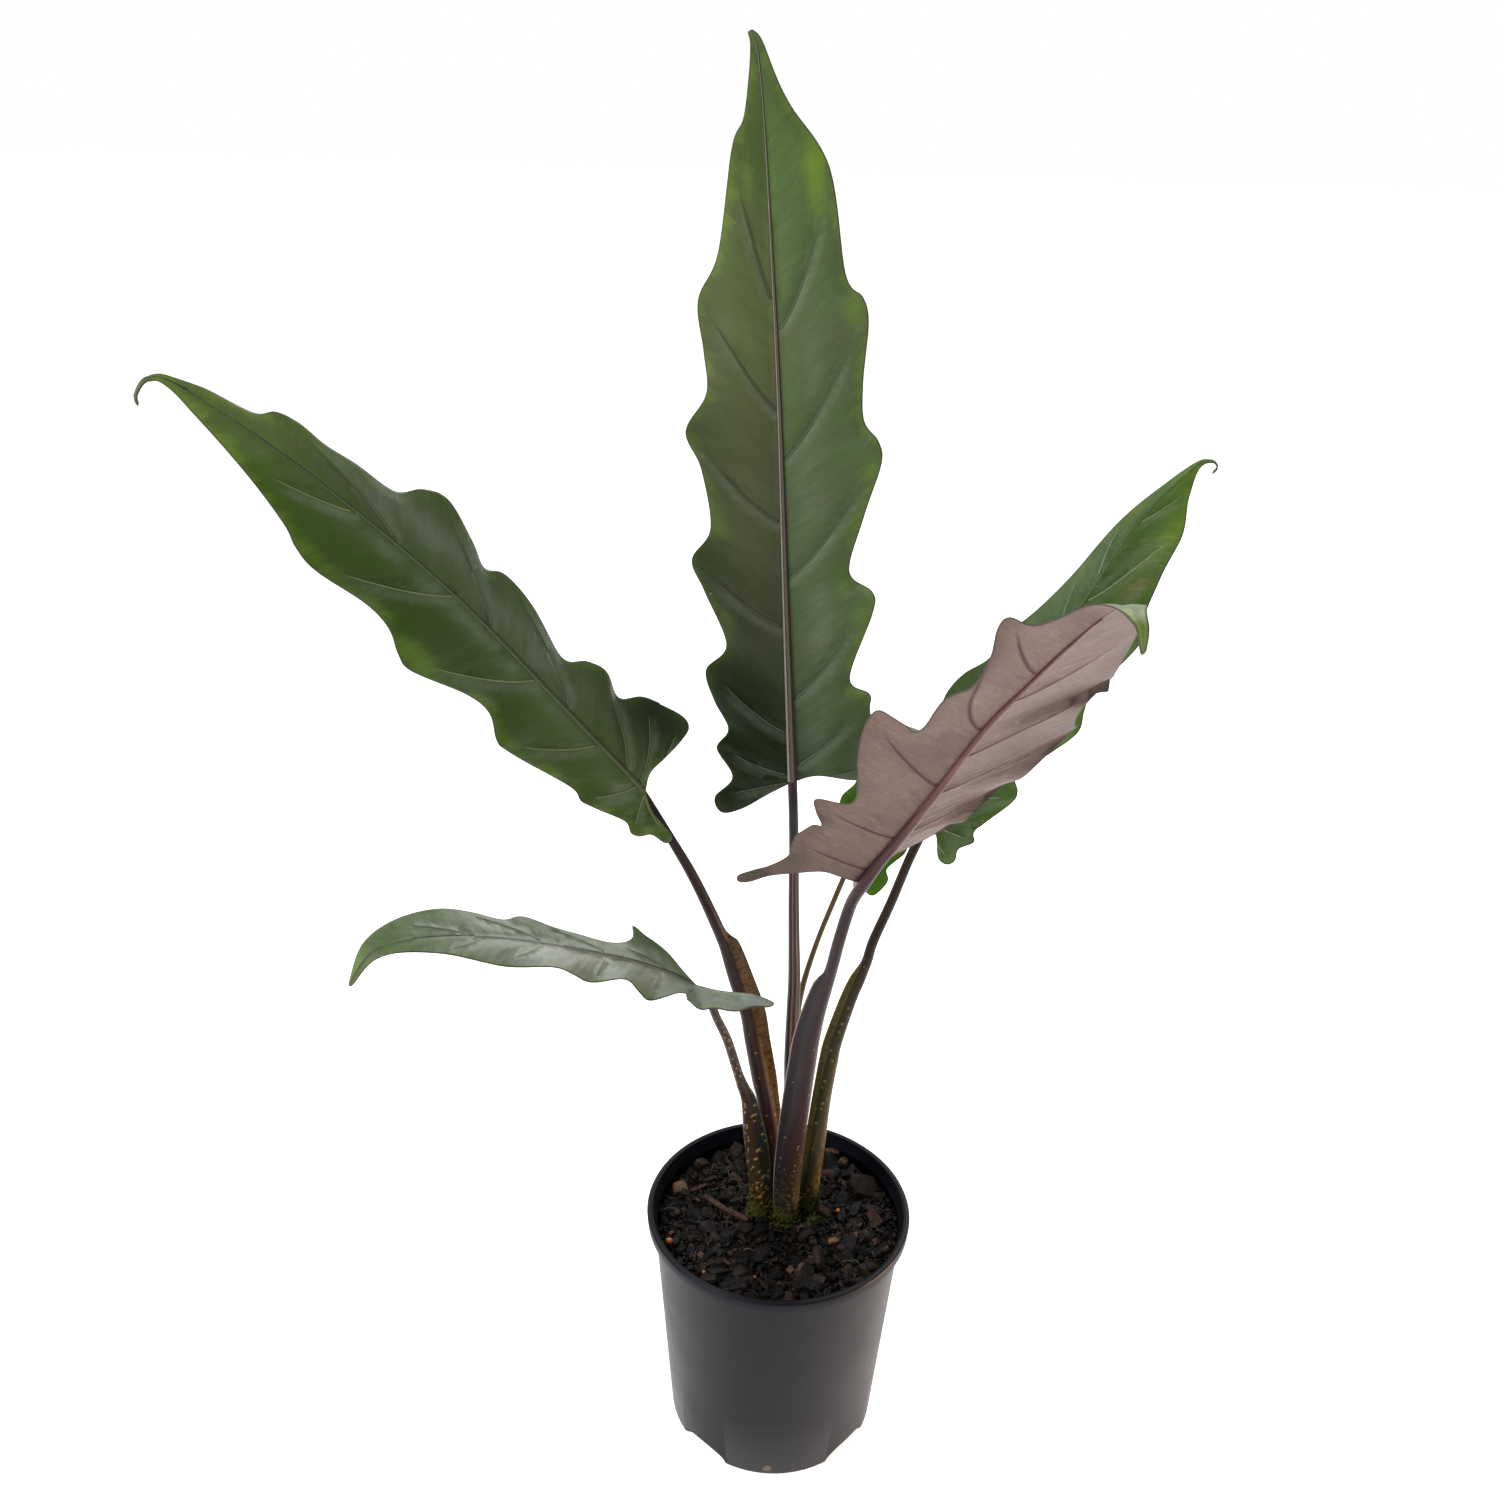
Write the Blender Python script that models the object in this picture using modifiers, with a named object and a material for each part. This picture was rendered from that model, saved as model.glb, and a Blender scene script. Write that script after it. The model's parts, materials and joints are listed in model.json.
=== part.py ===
"""Potted alocasia: a round nursery pot of bark mix with six wavy, arrow-shaped leaves on dark stalks.

Metres, +Z up. The pot's axis is Z and its foot stands on z = 0. The front view looks along +Y, so +X is
the viewer's right. Leaves and stalks are given in millimetres, in the same frame.
"""

import math

import bmesh
import bpy
import numpy as np
from mathutils import Vector, noise
from mathutils.geometry import delaunay_2d_cdt

MM = 0.001
GAP = 0.0003

# Pot: a 14 cm nursery pot.
POT_HEIGHT = 0.135
RIM_RADIUS = 0.070
RIM_BAND = 0.006
RIM_INNER_RADIUS = 0.0664
BODY_TOP_RADIUS = 0.0660
BASE_RADIUS = 0.0560
WALL = 0.0014
FLOOR = 0.0025
FLOOR_RADIUS = 0.044
CHAMFER_TOP = 0.0135
POT_STEPS = 48

# Foot recesses: four scoops that slope in under the pot, each with a drain slot. RECESS_TOP and RECESS_WIDTH are the
# height and half width of the scoop where it meets the wall.
RECESS_ANGLES = (48, 138, 228, 318)
RECESS_FOOT_RADIUS = 0.046
RECESS_TOP = 0.0080
RECESS_WIDTH = 0.0215
RECESS_REACH = 0.030
RECESS_SIDES = 24
SLOT_WIDTH = 0.013
SLOT_HEIGHT = 0.0045

# Potting mix
SOIL_TOP = 0.1235
SOIL_BUMP = 0.0022
SOIL_MOUND = 0.0025
SOIL_COLUMNS = 48

# Rhizome: the short crown that the stalks stand on.
CROWN_CENTRE = (0.005, 0.008)
CROWN_HALF_WIDTH = 0.0215
CROWN_HALF_DEPTH = 0.0155
CROWN_TOP = 0.1262
CROWN_BOTTOM = 0.096

# Blades
BLADE_THICKNESS = 0.0008
EDGE_STEP = 4.6
CELL = 7.6
CREASE = 4.0
VEIN_SLANT = 0.6
RUFFLE = 0.55

# Stalks
STALK_FOOT = CROWN_TOP + GAP
STALK_SIDES = 10
RIB_GAP = 0.55
RIB_STEP = 14.0
RIB_REACH = 0.86
RIB_END_HALF = 0.55
TURN_LENGTH = 60.0

# Each leaf, in millimetres. midrib: points from the notch where the stalk joins to the tip. facing: the way
# the upper face looks at the notch. left and right: each half's edge as (along the midrib, out from it), from
# the notch round the basal lobe to the tip. fold: (share of length, degrees that the half is raised). tail:
# degrees that the lobes behind the notch rise. ruffle: how far the edge's lobes rise, as a share of how far they
# stand out, where it isn't RUFFLE. stalk: (x, y, z, half width, wing) from the crown to the notch, where the wing
# is the sheath's overhang to the right, or to the left if it is negative.
LEAVES = {
    "centre": {
        "midrib": [(-1, 20, 375), (-7, 35, 461), (-13, 50, 550), (-20, 62, 632), (-24, 68, 672), (-27, 69, 692),
                   (-30, 66, 698)],
        "facing": (0, -1, 0.35),
        "fold_left": [(0, 10), (1, 10)],
        "fold_right": [(0, 10), (1, 10)],
        "tail": 0,
        "left": [(-5, 12), (-11, 25), (-12, 35), (-4, 38), (5, 29), (20, 36), (28, 30), (43, 36), (58, 39), (68, 29),
                 (94, 38), (109, 43), (122, 34), (149, 37), (166, 43), (182, 33), (200, 33), (222, 34), (241, 24),
                 (283, 15), (295, 9), (312, 5)],
        "right": [(3, 12), (1, 28), (2, 38), (12, 42), (34, 38), (43, 38), (50, 29), (81, 40), (91, 40), (100, 30),
                  (125, 37), (148, 45), (158, 44), (167, 38), (184, 38), (208, 41), (219, 39), (229, 32), (272, 27),
                  (298, 12), (312, 6)],
        "stalk": [(6, 17.5, 0, 4.3, 0), (6, 18, 157, 4.0, 0), (5, 18, 190, 3.7, 0), (4, 18, 215, 3.6, 0),
                  (4, 19, 244, 3.4, 0), (4, 20, 264, 3.2, 0), (3, 20, 287, 2.9, 0), (2, 20, 310, 2.7, 0),
                  (1, 20, 338, 2.4, 0), (0, 20, 358, 2.3, 0)],
    },
    "left": {
        "midrib": [(-69, -10, 382), (-102, -20, 425), (-145, -40, 484), (-191, -60, 535), (-232, -69, 568),
                   (-243, -71, 572), (-247, -75, 567), (-246, -77, 563)],
        "facing": (0.45, -0.75, 0.6),
        "fold_left": [(0, 5), (1, 5)],
        "fold_right": [(0, 10), (0.2, -12), (0.6, -15), (1, 0)],
        "tail": 0,
        "left": [(-8, 4), (-17, 5), (-25, 6), (-24, 11), (-15, 13), (-10, 18), (-5, 20), (1, 18), (19, 25), (26, 27),
                 (33, 25), (70, 35), (78, 35), (85, 27), (98, 28), (128, 39), (137, 37), (145, 30), (158, 28),
                 (183, 31), (194, 28), (201, 23), (219, 16), (243, 8), (256, 4), (266, 2.5)],
        "right": [(4, 8), (3, 18), (2, 30), (3, 37), (9, 39), (23, 35), (30, 32), (37, 25), (50, 29), (60, 26),
                  (70, 19), (97, 25), (115, 26), (123, 22), (134, 27), (152, 33), (163, 29), (172, 20), (192, 17),
                  (205, 15), (217, 15), (226, 13), (232, 8), (250, 5), (264, 2.5)],
        "stalk": [(-5, 13, 0, 5.0, 0), (-2, 12.5, 141, 5.2, 0), (-5, 11.5, 169, 4.8, 2), (-9, 10.5, 196, 4.4, 3.2),
                  (-12, 10, 209, 4.2, 4.8), (-17, 8, 235, 3.6, 6), (-20, 7, 252, 3.3, 6.5), (-26, 5, 272, 3.1, 6.5),
                  (-31.5, 2, 294, 2.9, 4.6), (-33.2, 1.4, 299.5, 3.0, 1.2), (-34.8, 1, 304, 2.95, 0),
                  (-41.4, -1, 321, 2.7, 0), (-48.7, -3, 338, 2.5, 0), (-58, -6, 357, 2.2, 0)],
    },
    "low_left": {
        "midrib": [(-44, -30, 292), (-59, -34, 302), (-83, -40, 313), (-128, -55, 330), (-162, -65, 335),
                   (-181, -72, 332), (-192, -78, 318)],
        "facing": (0, -0.25, 1),
        "fold_left": [(0, 15), (0.3, 5), (1, 0)],
        "fold_right": [(0, 15), (0.3, 0), (1, 0)],
        "tail": 30,
        "ruffle_left": -0.75,
        "left": [(-12, 4), (-26, 6), (-35, 12), (-32, 16), (-24, 16), (-15, 20), (-5, 18), (3, 20), (8, 16), (14, 16),
                 (26, 22), (33, 19.5), (41, 16), (57, 18.5), (66, 16.5), (75, 15), (98, 16), (124, 10), (144, 6),
                 (160, 3)],
        "right": [(8, 5), (18, 11.5), (29, 15.5), (35.5, 18.5), (34.5, 14), (38, 11), (47, 9.5), (70, 11), (87, 14),
                  (96, 12), (110, 14.5), (123, 16), (135, 14.5), (147, 11), (161, 6)],
        "stalk": [(-10, 2.5, 0, 5.2, 1), (-11, 2, 140, 4.8, 2), (-12, 1, 150, 4.2, 3.8), (-16, -3, 180, 3.4, 5.4),
                  (-19, -9, 210, 2.5, 2.9), (-21.3, -12, 221, 2.5, 1), (-23.6, -14, 231, 2.4, 0), (-28.9, -20, 254, 2.3, 0),
                  (-34, -24, 269, 2.1, 0), (-38, -27, 281, 2.0, 0)],
    },
    "front": {
        "midrib": [(26, -60, 366), (39, -80, 398), (50, -105, 433), (60, -135, 471), (68, -160, 497),
                   (75, -182, 519), (82, -205, 538), (84, -222, 539), (85, -225, 531)],
        "facing": (-0.1, 0.7, 0.7),
        "fold_left": [(0, 60), (0.1, 22), (0.3, 12), (1, 10)],
        "fold_right": [(0, 10), (1, 10)],
        "tail": 0,
        "left": [(-10, 6), (-16, 14), (-10, 22), (4, 24), (18, 26), (28, 38), (33, 42), (42, 32), (52, 28), (61, 35),
                 (68, 44), (75, 40), (86, 37), (96, 42), (106, 52), (115, 46), (131, 38.5), (145, 36), (152, 44),
                 (163, 36.5), (193, 28), (212, 19.5), (226, 11.5), (235, 8), (246, 4.4)],
        "right": [(2.5, 10), (3.5, 18.5), (-2, 28.5), (-8, 37.5), (-16, 43.5), (-18, 48), (-13, 50), (-5.5, 45),
                  (0, 40.5), (10, 36.5), (22, 39), (32, 38), (40, 36.5), (43, 34), (49, 38), (56, 39.5), (68, 29),
                  (98, 36), (116, 39), (129, 38), (130, 33), (126, 26), (131, 22), (150, 20.5), (165, 17), (185, 19),
                  (200, 22.5), (208, 22), (212, 15), (237, 7)],
        "stalk": [(5, 0, 0, 5.4, -2), (6, -2, 154, 5.2, -4.1), (7, -7, 184, 5.0, -4.5), (9, -14, 215, 4.5, -5.3),
                  (11, -22, 245, 3.9, -5.9), (12, -27, 261, 3.6, -5.9), (13.8, -33, 280, 3.3, -5.0),
                  (16.5, -40.5, 301, 3.0, -3.4), (17.4, -42.3, 307, 2.9, -0.6), (18.4, -45, 315, 2.85, 0),
                  (20.3, -50, 331, 2.8, 0), (23.7, -56, 352, 2.7, 0)],
    },
    "right": {
        "midrib": [(67, 50, 337), (105, 75, 392), (145, 100, 441), (171, 115, 479), (200, 128, 507),
                   (210, 131, 511), (214, 131, 508), (211, 129, 505)],
        "facing": (-0.3, -0.7, 0.66),
        "fold_left": [(0, 10), (0.5, -10), (1, 0)],
        "fold_right": [(0, 10), (1, 10)],
        "tail": 0,
        "left": [(-2, 8), (-9, 16), (-8, 23), (8, 27), (15, 24), (35, 30), (48, 25), (64, 29), (78, 28), (92, 23),
                 (108, 23), (122, 20), (136, 17), (157, 13), (177, 10), (198, 7), (218, 4), (235, 2.5)],
        "right": [(1, 8), (-8, 16), (-9, 22), (-5, 25), (1, 23), (8, 28), (14, 25), (34, 34), (41, 33), (48, 27),
                  (66, 36), (82, 42), (94, 37), (106, 33), (125, 38), (140, 39), (150, 32), (172, 28), (197, 24),
                  (217, 11), (231, 4), (240, 2.5)],
        "stalk": [(16, 8.5, 0, 5.2, -0.5), (17.5, 10, 143, 4.8, -1.2), (20, 14, 167, 4.3, -2.3),
                  (22.5, 19, 190, 3.7, -2.8), (26, 24, 212, 3.3, -3.6), (28, 26, 223, 3.1, -3.6),
                  (34.5, 30, 246, 2.9, -3.0), (38.5, 32, 257, 2.8, -2.5), (40.3, 33.2, 262.5, 2.75, -0.9),
                  (42, 34.4, 267.5, 2.7, 0), (44.8, 37, 278, 2.6, 0), (53, 42, 298, 2.5, 0), (61, 47, 320, 2.4, 0)],
    },
    "young": {
        "midrib": [(36, 61, 324), (48, 82, 340), (62, 104, 352), (76, 122, 358)],
        "facing": (0, -0.75, 0.66),
        "fold_left": [(0, 10), (1, 10)],
        "fold_right": [(0, 10), (1, 10)],
        "tail": 0,
        "left": [(-7, 5), (-14, 8), (-15, 13), (-5, 16), (4, 14), (16, 18), (28, 15), (42, 17), (58, 12), (72, 5)],
        "right": [(-8, 7), (-19, 12), (-25, 14), (-27, 19), (-22, 22), (-15, 23), (-10, 20), (-4, 22), (3, 25),
                  (12, 24), (24, 21), (36, 22), (50, 18), (64, 10), (74, 5)],
        "stalk": [(13, 20, 0, 2.2, 0), (10, 24, 160, 1.9, 0), (8, 27, 183, 1.7, 0), (7, 34, 223, 1.6, 0),
                  (9, 39, 245, 1.6, 0), (16, 46, 270, 1.4, 0), (25, 53, 294, 1.4, 0), (32, 58, 312, 1.4, 0)],
    },
}

# Colour (linear), roughness
LOOKS = {
    "pot": ((0.045, 0.045, 0.048), 0.42),
    "soil": ((0.022, 0.017, 0.014), 0.90),
    "rhizome": ((0.110, 0.120, 0.030), 0.80),
    "stalk": ((0.050, 0.034, 0.036), 0.45),
    "blade": ((0.040, 0.075, 0.022), 0.40),
}


def unit(vectors):
    vectors = np.asarray(vectors, float)
    return vectors / np.linalg.norm(vectors, axis=-1, keepdims=True)


def smooth_curve(points, per_span):
    """Catmull-Rom curve through points of any dimension, with per_span samples a span."""
    points = np.array(points, float)
    padded = np.vstack([2 * points[0] - points[1], points, 2 * points[-1] - points[-2]])
    t = (np.arange(per_span) / per_span)[:, None]
    spans = []
    for a, b, c, d in zip(padded, padded[1:], padded[2:], padded[3:]):
        spans.append(0.5 * (2 * b + (c - a) * t + (2 * a - 5 * b + 4 * c - d) * t**2 + (3 * b - a - 3 * c + d) * t**3))
    return np.vstack(spans + [points[-1:]])


def lengths_along(points):
    return np.concatenate([[0], np.cumsum(np.linalg.norm(np.diff(points, axis=0), axis=1))])


def at_lengths(points, lengths, wanted):
    return np.stack([np.interp(wanted, lengths, column) for column in points.T], -1)


def resampled(points, step):
    lengths = lengths_along(points)
    count = max(2, round(lengths[-1] / step))
    return at_lengths(points, lengths, np.linspace(0, lengths[-1], count + 1))


class Blade:
    """Maps (along, out) in millimetres on one half of a leaf to a point in space."""

    def __init__(self, leaf):
        self.leaf = leaf
        self.points = smooth_curve(leaf["midrib"], 30)
        self.lengths = lengths_along(self.points)
        self.length = self.lengths[-1]
        self.tangents = unit(np.gradient(self.points, axis=0))
        normal = np.array(leaf["facing"], float)
        normals = []
        for tangent in self.tangents:
            normal = unit(normal - (normal @ tangent) * tangent)
            normals.append(normal)
        self.normals = np.array(normals)
        self.edges = {-1: self.edge("left"), 1: self.edge("right")}
        self.waves = {side: self.wave(edge) for side, edge in self.edges.items()}

    def edge(self, side):
        outline = [(0, 0)] + self.leaf[side] + [(self.length - 1.5, 1.6), (self.length, 0)]
        return smooth_curve(outline, 8)

    @staticmethod
    def wave(edge):
        """How far the edge stands out past its own running mean, by where its vein leaves the midrib."""
        even = resampled(edge, 1.5)
        along = np.maximum.accumulate(even[:, 0] - VEIN_SLANT * even[:, 1])
        reach = 17
        padded = np.pad(even[:, 1], reach, mode="edge")
        mean = np.convolve(padded, np.ones(2 * reach + 1) / (2 * reach + 1), mode="valid")
        fade = np.clip(np.minimum(np.arange(len(even)), np.arange(len(even))[::-1]) / 20, 0, 1)
        return along, (even[:, 1] - mean) * fade, np.maximum(even[:, 1], 6)

    def frames(self, along):
        inside = np.clip(along, 0, self.length)
        point = at_lengths(self.points, self.lengths, inside)
        tangent = unit(at_lengths(self.tangents, self.lengths, inside))
        normal = at_lengths(self.normals, self.lengths, inside)
        normal = unit(normal - (normal * tangent).sum(-1, keepdims=True) * tangent)
        beyond = (along - inside)[:, None]
        lift = math.radians(self.leaf["tail"])
        rise = np.where(beyond < 0, tangent * math.cos(lift) - normal * math.sin(lift), tangent)
        return point + beyond * rise, tangent, normal, np.cross(tangent, normal)

    def at(self, along, across):
        """Points in millimetres. across is positive on the right half and negative on the left."""
        along = np.asarray(along, float)
        across = np.asarray(across, float)
        point, _, normal, sideways = self.frames(along)
        angle = np.zeros_like(along)
        ripple = np.zeros_like(along)
        out = np.abs(across)
        for side, name in ((-1, "left"), (1, "right")):
            half = across * side > 0
            share, degrees = zip(*self.leaf["fold_" + name])
            angle[half] = np.radians(np.interp(along[half] / self.length, share, degrees))
            where, wave, width = self.waves[side]
            root = along[half] - VEIN_SLANT * out[half]
            reach = np.clip(out[half] / np.interp(root, where, width), 0, 1.2)
            ripple[half] = self.leaf.get("ruffle_" + name, RUFFLE) * np.interp(root, where, wave) * reach**2
        raised = np.sqrt(out**2 + CREASE**2) - CREASE
        height = (raised * np.sin(angle) + ripple)[:, None]
        return point + (across * np.cos(angle))[:, None] * sideways + height * normal


def new_object(name, mesh, look, collection):
    obj = bpy.data.objects.new(name, mesh)
    collection.objects.link(obj)
    if look:
        colour, roughness = LOOKS[look]
        material = bpy.data.materials.new(name)
        material.use_nodes = True
        shader = material.node_tree.nodes["Principled BSDF"]
        shader.inputs["Base Color"].default_value = (*colour, 1)
        shader.inputs["Roughness"].default_value = roughness
        mesh.materials.append(material)
    else:
        obj.hide_render = True
        obj.display_type = "WIRE"
    return obj


def mesh_from(bm, name, smooth=True):
    mesh = bpy.data.meshes.new(name)
    bm.to_mesh(mesh)
    bm.free()
    if smooth:
        mesh.shade_smooth()
    return mesh


def cut(obj, cutter):
    modifier = obj.modifiers.new("cut " + cutter.name, "BOOLEAN")
    modifier.operation = "DIFFERENCE"
    modifier.object = cutter


def turned(name, profile, steps, look, collection):
    """A profile of (radius, z) turned round Z."""
    mesh = bpy.data.meshes.new(name)
    mesh.from_pydata([(r, 0, z) for r, z in profile], [(i, i + 1) for i in range(len(profile) - 1)], [])
    obj = new_object(name, mesh, look, collection)
    screw = obj.modifiers.new("turn", "SCREW")
    screw.steps = steps
    screw.render_steps = steps
    screw.use_merge_vertices = True
    screw.merge_threshold = 0.00001
    screw.use_smooth_shade = True
    return obj


def body_radius(z):
    """Outer radius of the tapered pot body."""
    return BASE_RADIUS + (BODY_TOP_RADIUS - BASE_RADIUS) * z / (POT_HEIGHT - RIM_BAND)


def inner_radius(z):
    """Inner radius of the pot: the body less its wall, and a slope down to the floor."""
    share = (z - FLOOR) / (CHAMFER_TOP - FLOOR)
    slope = FLOOR_RADIUS + (body_radius(CHAMFER_TOP) - WALL - FLOOR_RADIUS) * share
    return min(body_radius(z) - WALL, slope)


def make_pot(parts, cutters):
    band = POT_HEIGHT - RIM_BAND
    profile = [
        (0, FLOOR),
        (FLOOR_RADIUS, FLOOR),
        (inner_radius(CHAMFER_TOP), CHAMFER_TOP),
        (inner_radius(0.070), 0.070),
        (inner_radius(band - 0.001), band - 0.001),
        (RIM_INNER_RADIUS, band + 0.0015),
        (RIM_INNER_RADIUS, POT_HEIGHT - 0.0006),
        (RIM_INNER_RADIUS + 0.0006, POT_HEIGHT),
        (RIM_RADIUS - 0.0008, POT_HEIGHT),
        (RIM_RADIUS, POT_HEIGHT - 0.0008),
        (RIM_RADIUS - 0.0005, band),
        (body_radius(band) + 0.0004, band),
        (body_radius(band - 0.002), band - 0.002),
        (body_radius(0.060), 0.060),
        (body_radius(0.0012), 0.0012),
        (BASE_RADIUS - 0.0012, 0),
        (0, 0),
    ]
    pot = turned("pot", profile, POT_STEPS, "pot", parts)
    slope_out = body_radius(RECESS_TOP) - RECESS_FOOT_RADIUS
    grown = RECESS_REACH / slope_out
    for degrees in RECESS_ANGLES:
        azimuth = math.radians(degrees)
        # The scoop is a flattened cone that lies along a radius, with its point under the pot.
        bm = bmesh.new()
        bmesh.ops.create_cone(bm, cap_ends=True, segments=RECESS_SIDES, radius1=1, radius2=0, depth=1)
        for vert in bm.verts:
            out = 0.5 - vert.co.z
            vert.co = Vector((out * RECESS_REACH, vert.co.y * RECESS_WIDTH * grown, vert.co.x * RECESS_TOP * grown))
        bmesh.ops.recalc_face_normals(bm, faces=bm.faces)
        recess = new_object(f"recess_{degrees}", mesh_from(bm, "recess", False), None, cutters)
        recess.location = (RECESS_FOOT_RADIUS * math.cos(azimuth), RECESS_FOOT_RADIUS * math.sin(azimuth), 0)
        recess.rotation_euler = (0, 0, azimuth)
        cut(pot, recess)
        bm = bmesh.new()
        bmesh.ops.create_cube(bm, size=1)
        bmesh.ops.scale(bm, vec=(SLOT_HEIGHT, SLOT_WIDTH, 0.016), verts=bm.verts)
        slot = new_object(f"slot_{degrees}", mesh_from(bm, "slot", False), None, cutters)
        middle = RECESS_FOOT_RADIUS + slope_out / 2
        slot.location = (middle * math.cos(azimuth), middle * math.sin(azimuth), RECESS_TOP / 2)
        slot.rotation_euler = (0, -math.atan2(RECESS_TOP, slope_out), azimuth)
        cut(pot, slot)
    return pot


def soil_height(x, y):
    """Top of the mix: a low mound round the crown with bumps the size of bark pieces."""
    radius = math.hypot(x, y)
    away = math.hypot(x - CROWN_CENTRE[0], y - CROWN_CENTRE[1])
    mound = SOIL_MOUND * math.exp(-((away / 0.030) ** 2))
    coarse = noise.noise(Vector((x * 90, y * 90, 3.1)))
    fine = noise.noise(Vector((x * 210, y * 210, 7.7)))
    edge = min(1, max(0, (0.0655 - radius) / 0.012))
    return SOIL_TOP + mound + SOIL_BUMP * (0.7 * coarse + 0.5 * fine) * edge - 0.001 * (1 - edge)


def make_soil(parts, cutters):
    clear = GAP + 0.0001
    sides = [0.0040, CHAMFER_TOP + 0.0005, 0.045, 0.085, 0.118]
    rings = [0, 0.45 * FLOOR_RADIUS, FLOOR_RADIUS - 0.001]
    top = list(np.linspace(0.0625, 0.020, 9)) + [0.012, 0]
    rows = [(r, FLOOR + clear) for r in rings]
    rows += [(inner_radius(z) - clear, z) for z in sides]
    rows += [(r, None) for r in top]
    bm = bmesh.new()
    bmesh.ops.create_grid(bm, x_segments=SOIL_COLUMNS, y_segments=len(rows) - 1, size=1)
    for vert in bm.verts:
        column = (vert.co.x + 1) / 2
        row = round((vert.co.y + 1) / 2 * (len(rows) - 1))
        radius, z = rows[row]
        turn = 2 * math.pi * (round(column * SOIL_COLUMNS) % SOIL_COLUMNS) / SOIL_COLUMNS
        x = radius * math.cos(turn)
        y = radius * math.sin(turn)
        vert.co = Vector((x, y, soil_height(x, y) if z is None else z))
    bmesh.ops.remove_doubles(bm, verts=bm.verts, dist=0.000001)
    bmesh.ops.recalc_face_normals(bm, faces=bm.faces)
    bmesh.ops.triangulate(bm, faces=bm.faces)
    soil = new_object("soil", mesh_from(bm, "soil"), "soil", parts)
    hole = ellipse_drum("crown_hole", GAP, CROWN_BOTTOM - GAP, CROWN_TOP + 0.02, None, cutters)
    cut(soil, hole)


def ellipse_drum(name, grow, bottom, top, look, collection):
    bm = bmesh.new()
    bmesh.ops.create_cone(bm, cap_ends=True, segments=36, radius1=1, radius2=1, depth=top - bottom)
    bmesh.ops.scale(bm, vec=(CROWN_HALF_WIDTH + grow, CROWN_HALF_DEPTH + grow, 1), verts=bm.verts)
    obj = new_object(name, mesh_from(bm, name, False), look, collection)
    obj.location = (*CROWN_CENTRE, (bottom + top) / 2)
    return obj


def make_rhizome(parts):
    rhizome = ellipse_drum("rhizome", 0, CROWN_BOTTOM, CROWN_TOP, "rhizome", parts)
    bevel = rhizome.modifiers.new("soft edge", "BEVEL")
    bevel.width = 0.0012
    bevel.segments = 2
    bevel.limit_method = "ANGLE"


def inside_outline(points, loop):
    """Even-odd test of each point against a closed loop."""
    x, y = points[:, :1], points[:, 1:]
    a, b = loop, np.roll(loop, -1, axis=0)
    crosses = (a[:, 1] > y) != (b[:, 1] > y)
    rise = np.where(b[:, 1] == a[:, 1], 1, b[:, 1] - a[:, 1])
    return (crosses & (x < (b[:, 0] - a[:, 0]) * (y - a[:, 1]) / rise + a[:, 0])).sum(1) % 2 == 1


def blade_layout(blade, edge_step, cell):
    """Triangles over the flat leaf: its outline, the midrib and a triangular lattice between them."""
    right = resampled(blade.edges[1], edge_step)
    left = resampled(blade.edges[-1], edge_step)
    loop = np.vstack([right, left[-2:0:-1] * (1, -1)])
    ribs = max(3, round(blade.length / cell))
    rib = np.stack([np.linspace(0, blade.length, ribs + 1)[1:-1], np.zeros(ribs - 1)], -1)
    rows = np.arange(-80 // cell, 80 // cell + 1)
    lattice = []
    for number, row in enumerate(rows):
        along = np.arange(-70, blade.length + 20, cell) + (number % 2) * cell / 2
        lattice.append(np.stack([along, np.full(len(along), row * cell * 0.866)], -1))
    lattice = np.vstack(lattice)
    lattice = lattice[inside_outline(lattice, loop)]
    fixed = np.vstack([loop, rib])
    apart = np.linalg.norm(lattice[:, None] - fixed[None], axis=2).min(1)
    lattice = lattice[apart > 0.62 * cell]
    points = np.vstack([loop, rib, lattice])
    edges = [(i, (i + 1) % len(loop)) for i in range(len(loop))]
    chain = [0] + list(range(len(loop), len(loop) + len(rib))) + [len(right) - 1]
    edges += list(zip(chain, chain[1:]))
    flat, _, faces, *_ = delaunay_2d_cdt([Vector(p) for p in points], edges, [], 1, 1e-5)
    return np.array([tuple(p) for p in flat]), faces


def make_blade(name, blade, parts):
    flat, faces = blade_layout(blade, EDGE_STEP, CELL)
    mesh = bpy.data.meshes.new(name)
    mesh.from_pydata(blade.at(flat[:, 0], flat[:, 1]) * MM, [], [face[::-1] for face in faces])
    mesh.shade_smooth()
    obj = new_object(name, mesh, "blade", parts)
    shell = obj.modifiers.new("thickness", "SOLIDIFY")
    shell.thickness = BLADE_THICKNESS
    shell.offset = 0


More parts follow.
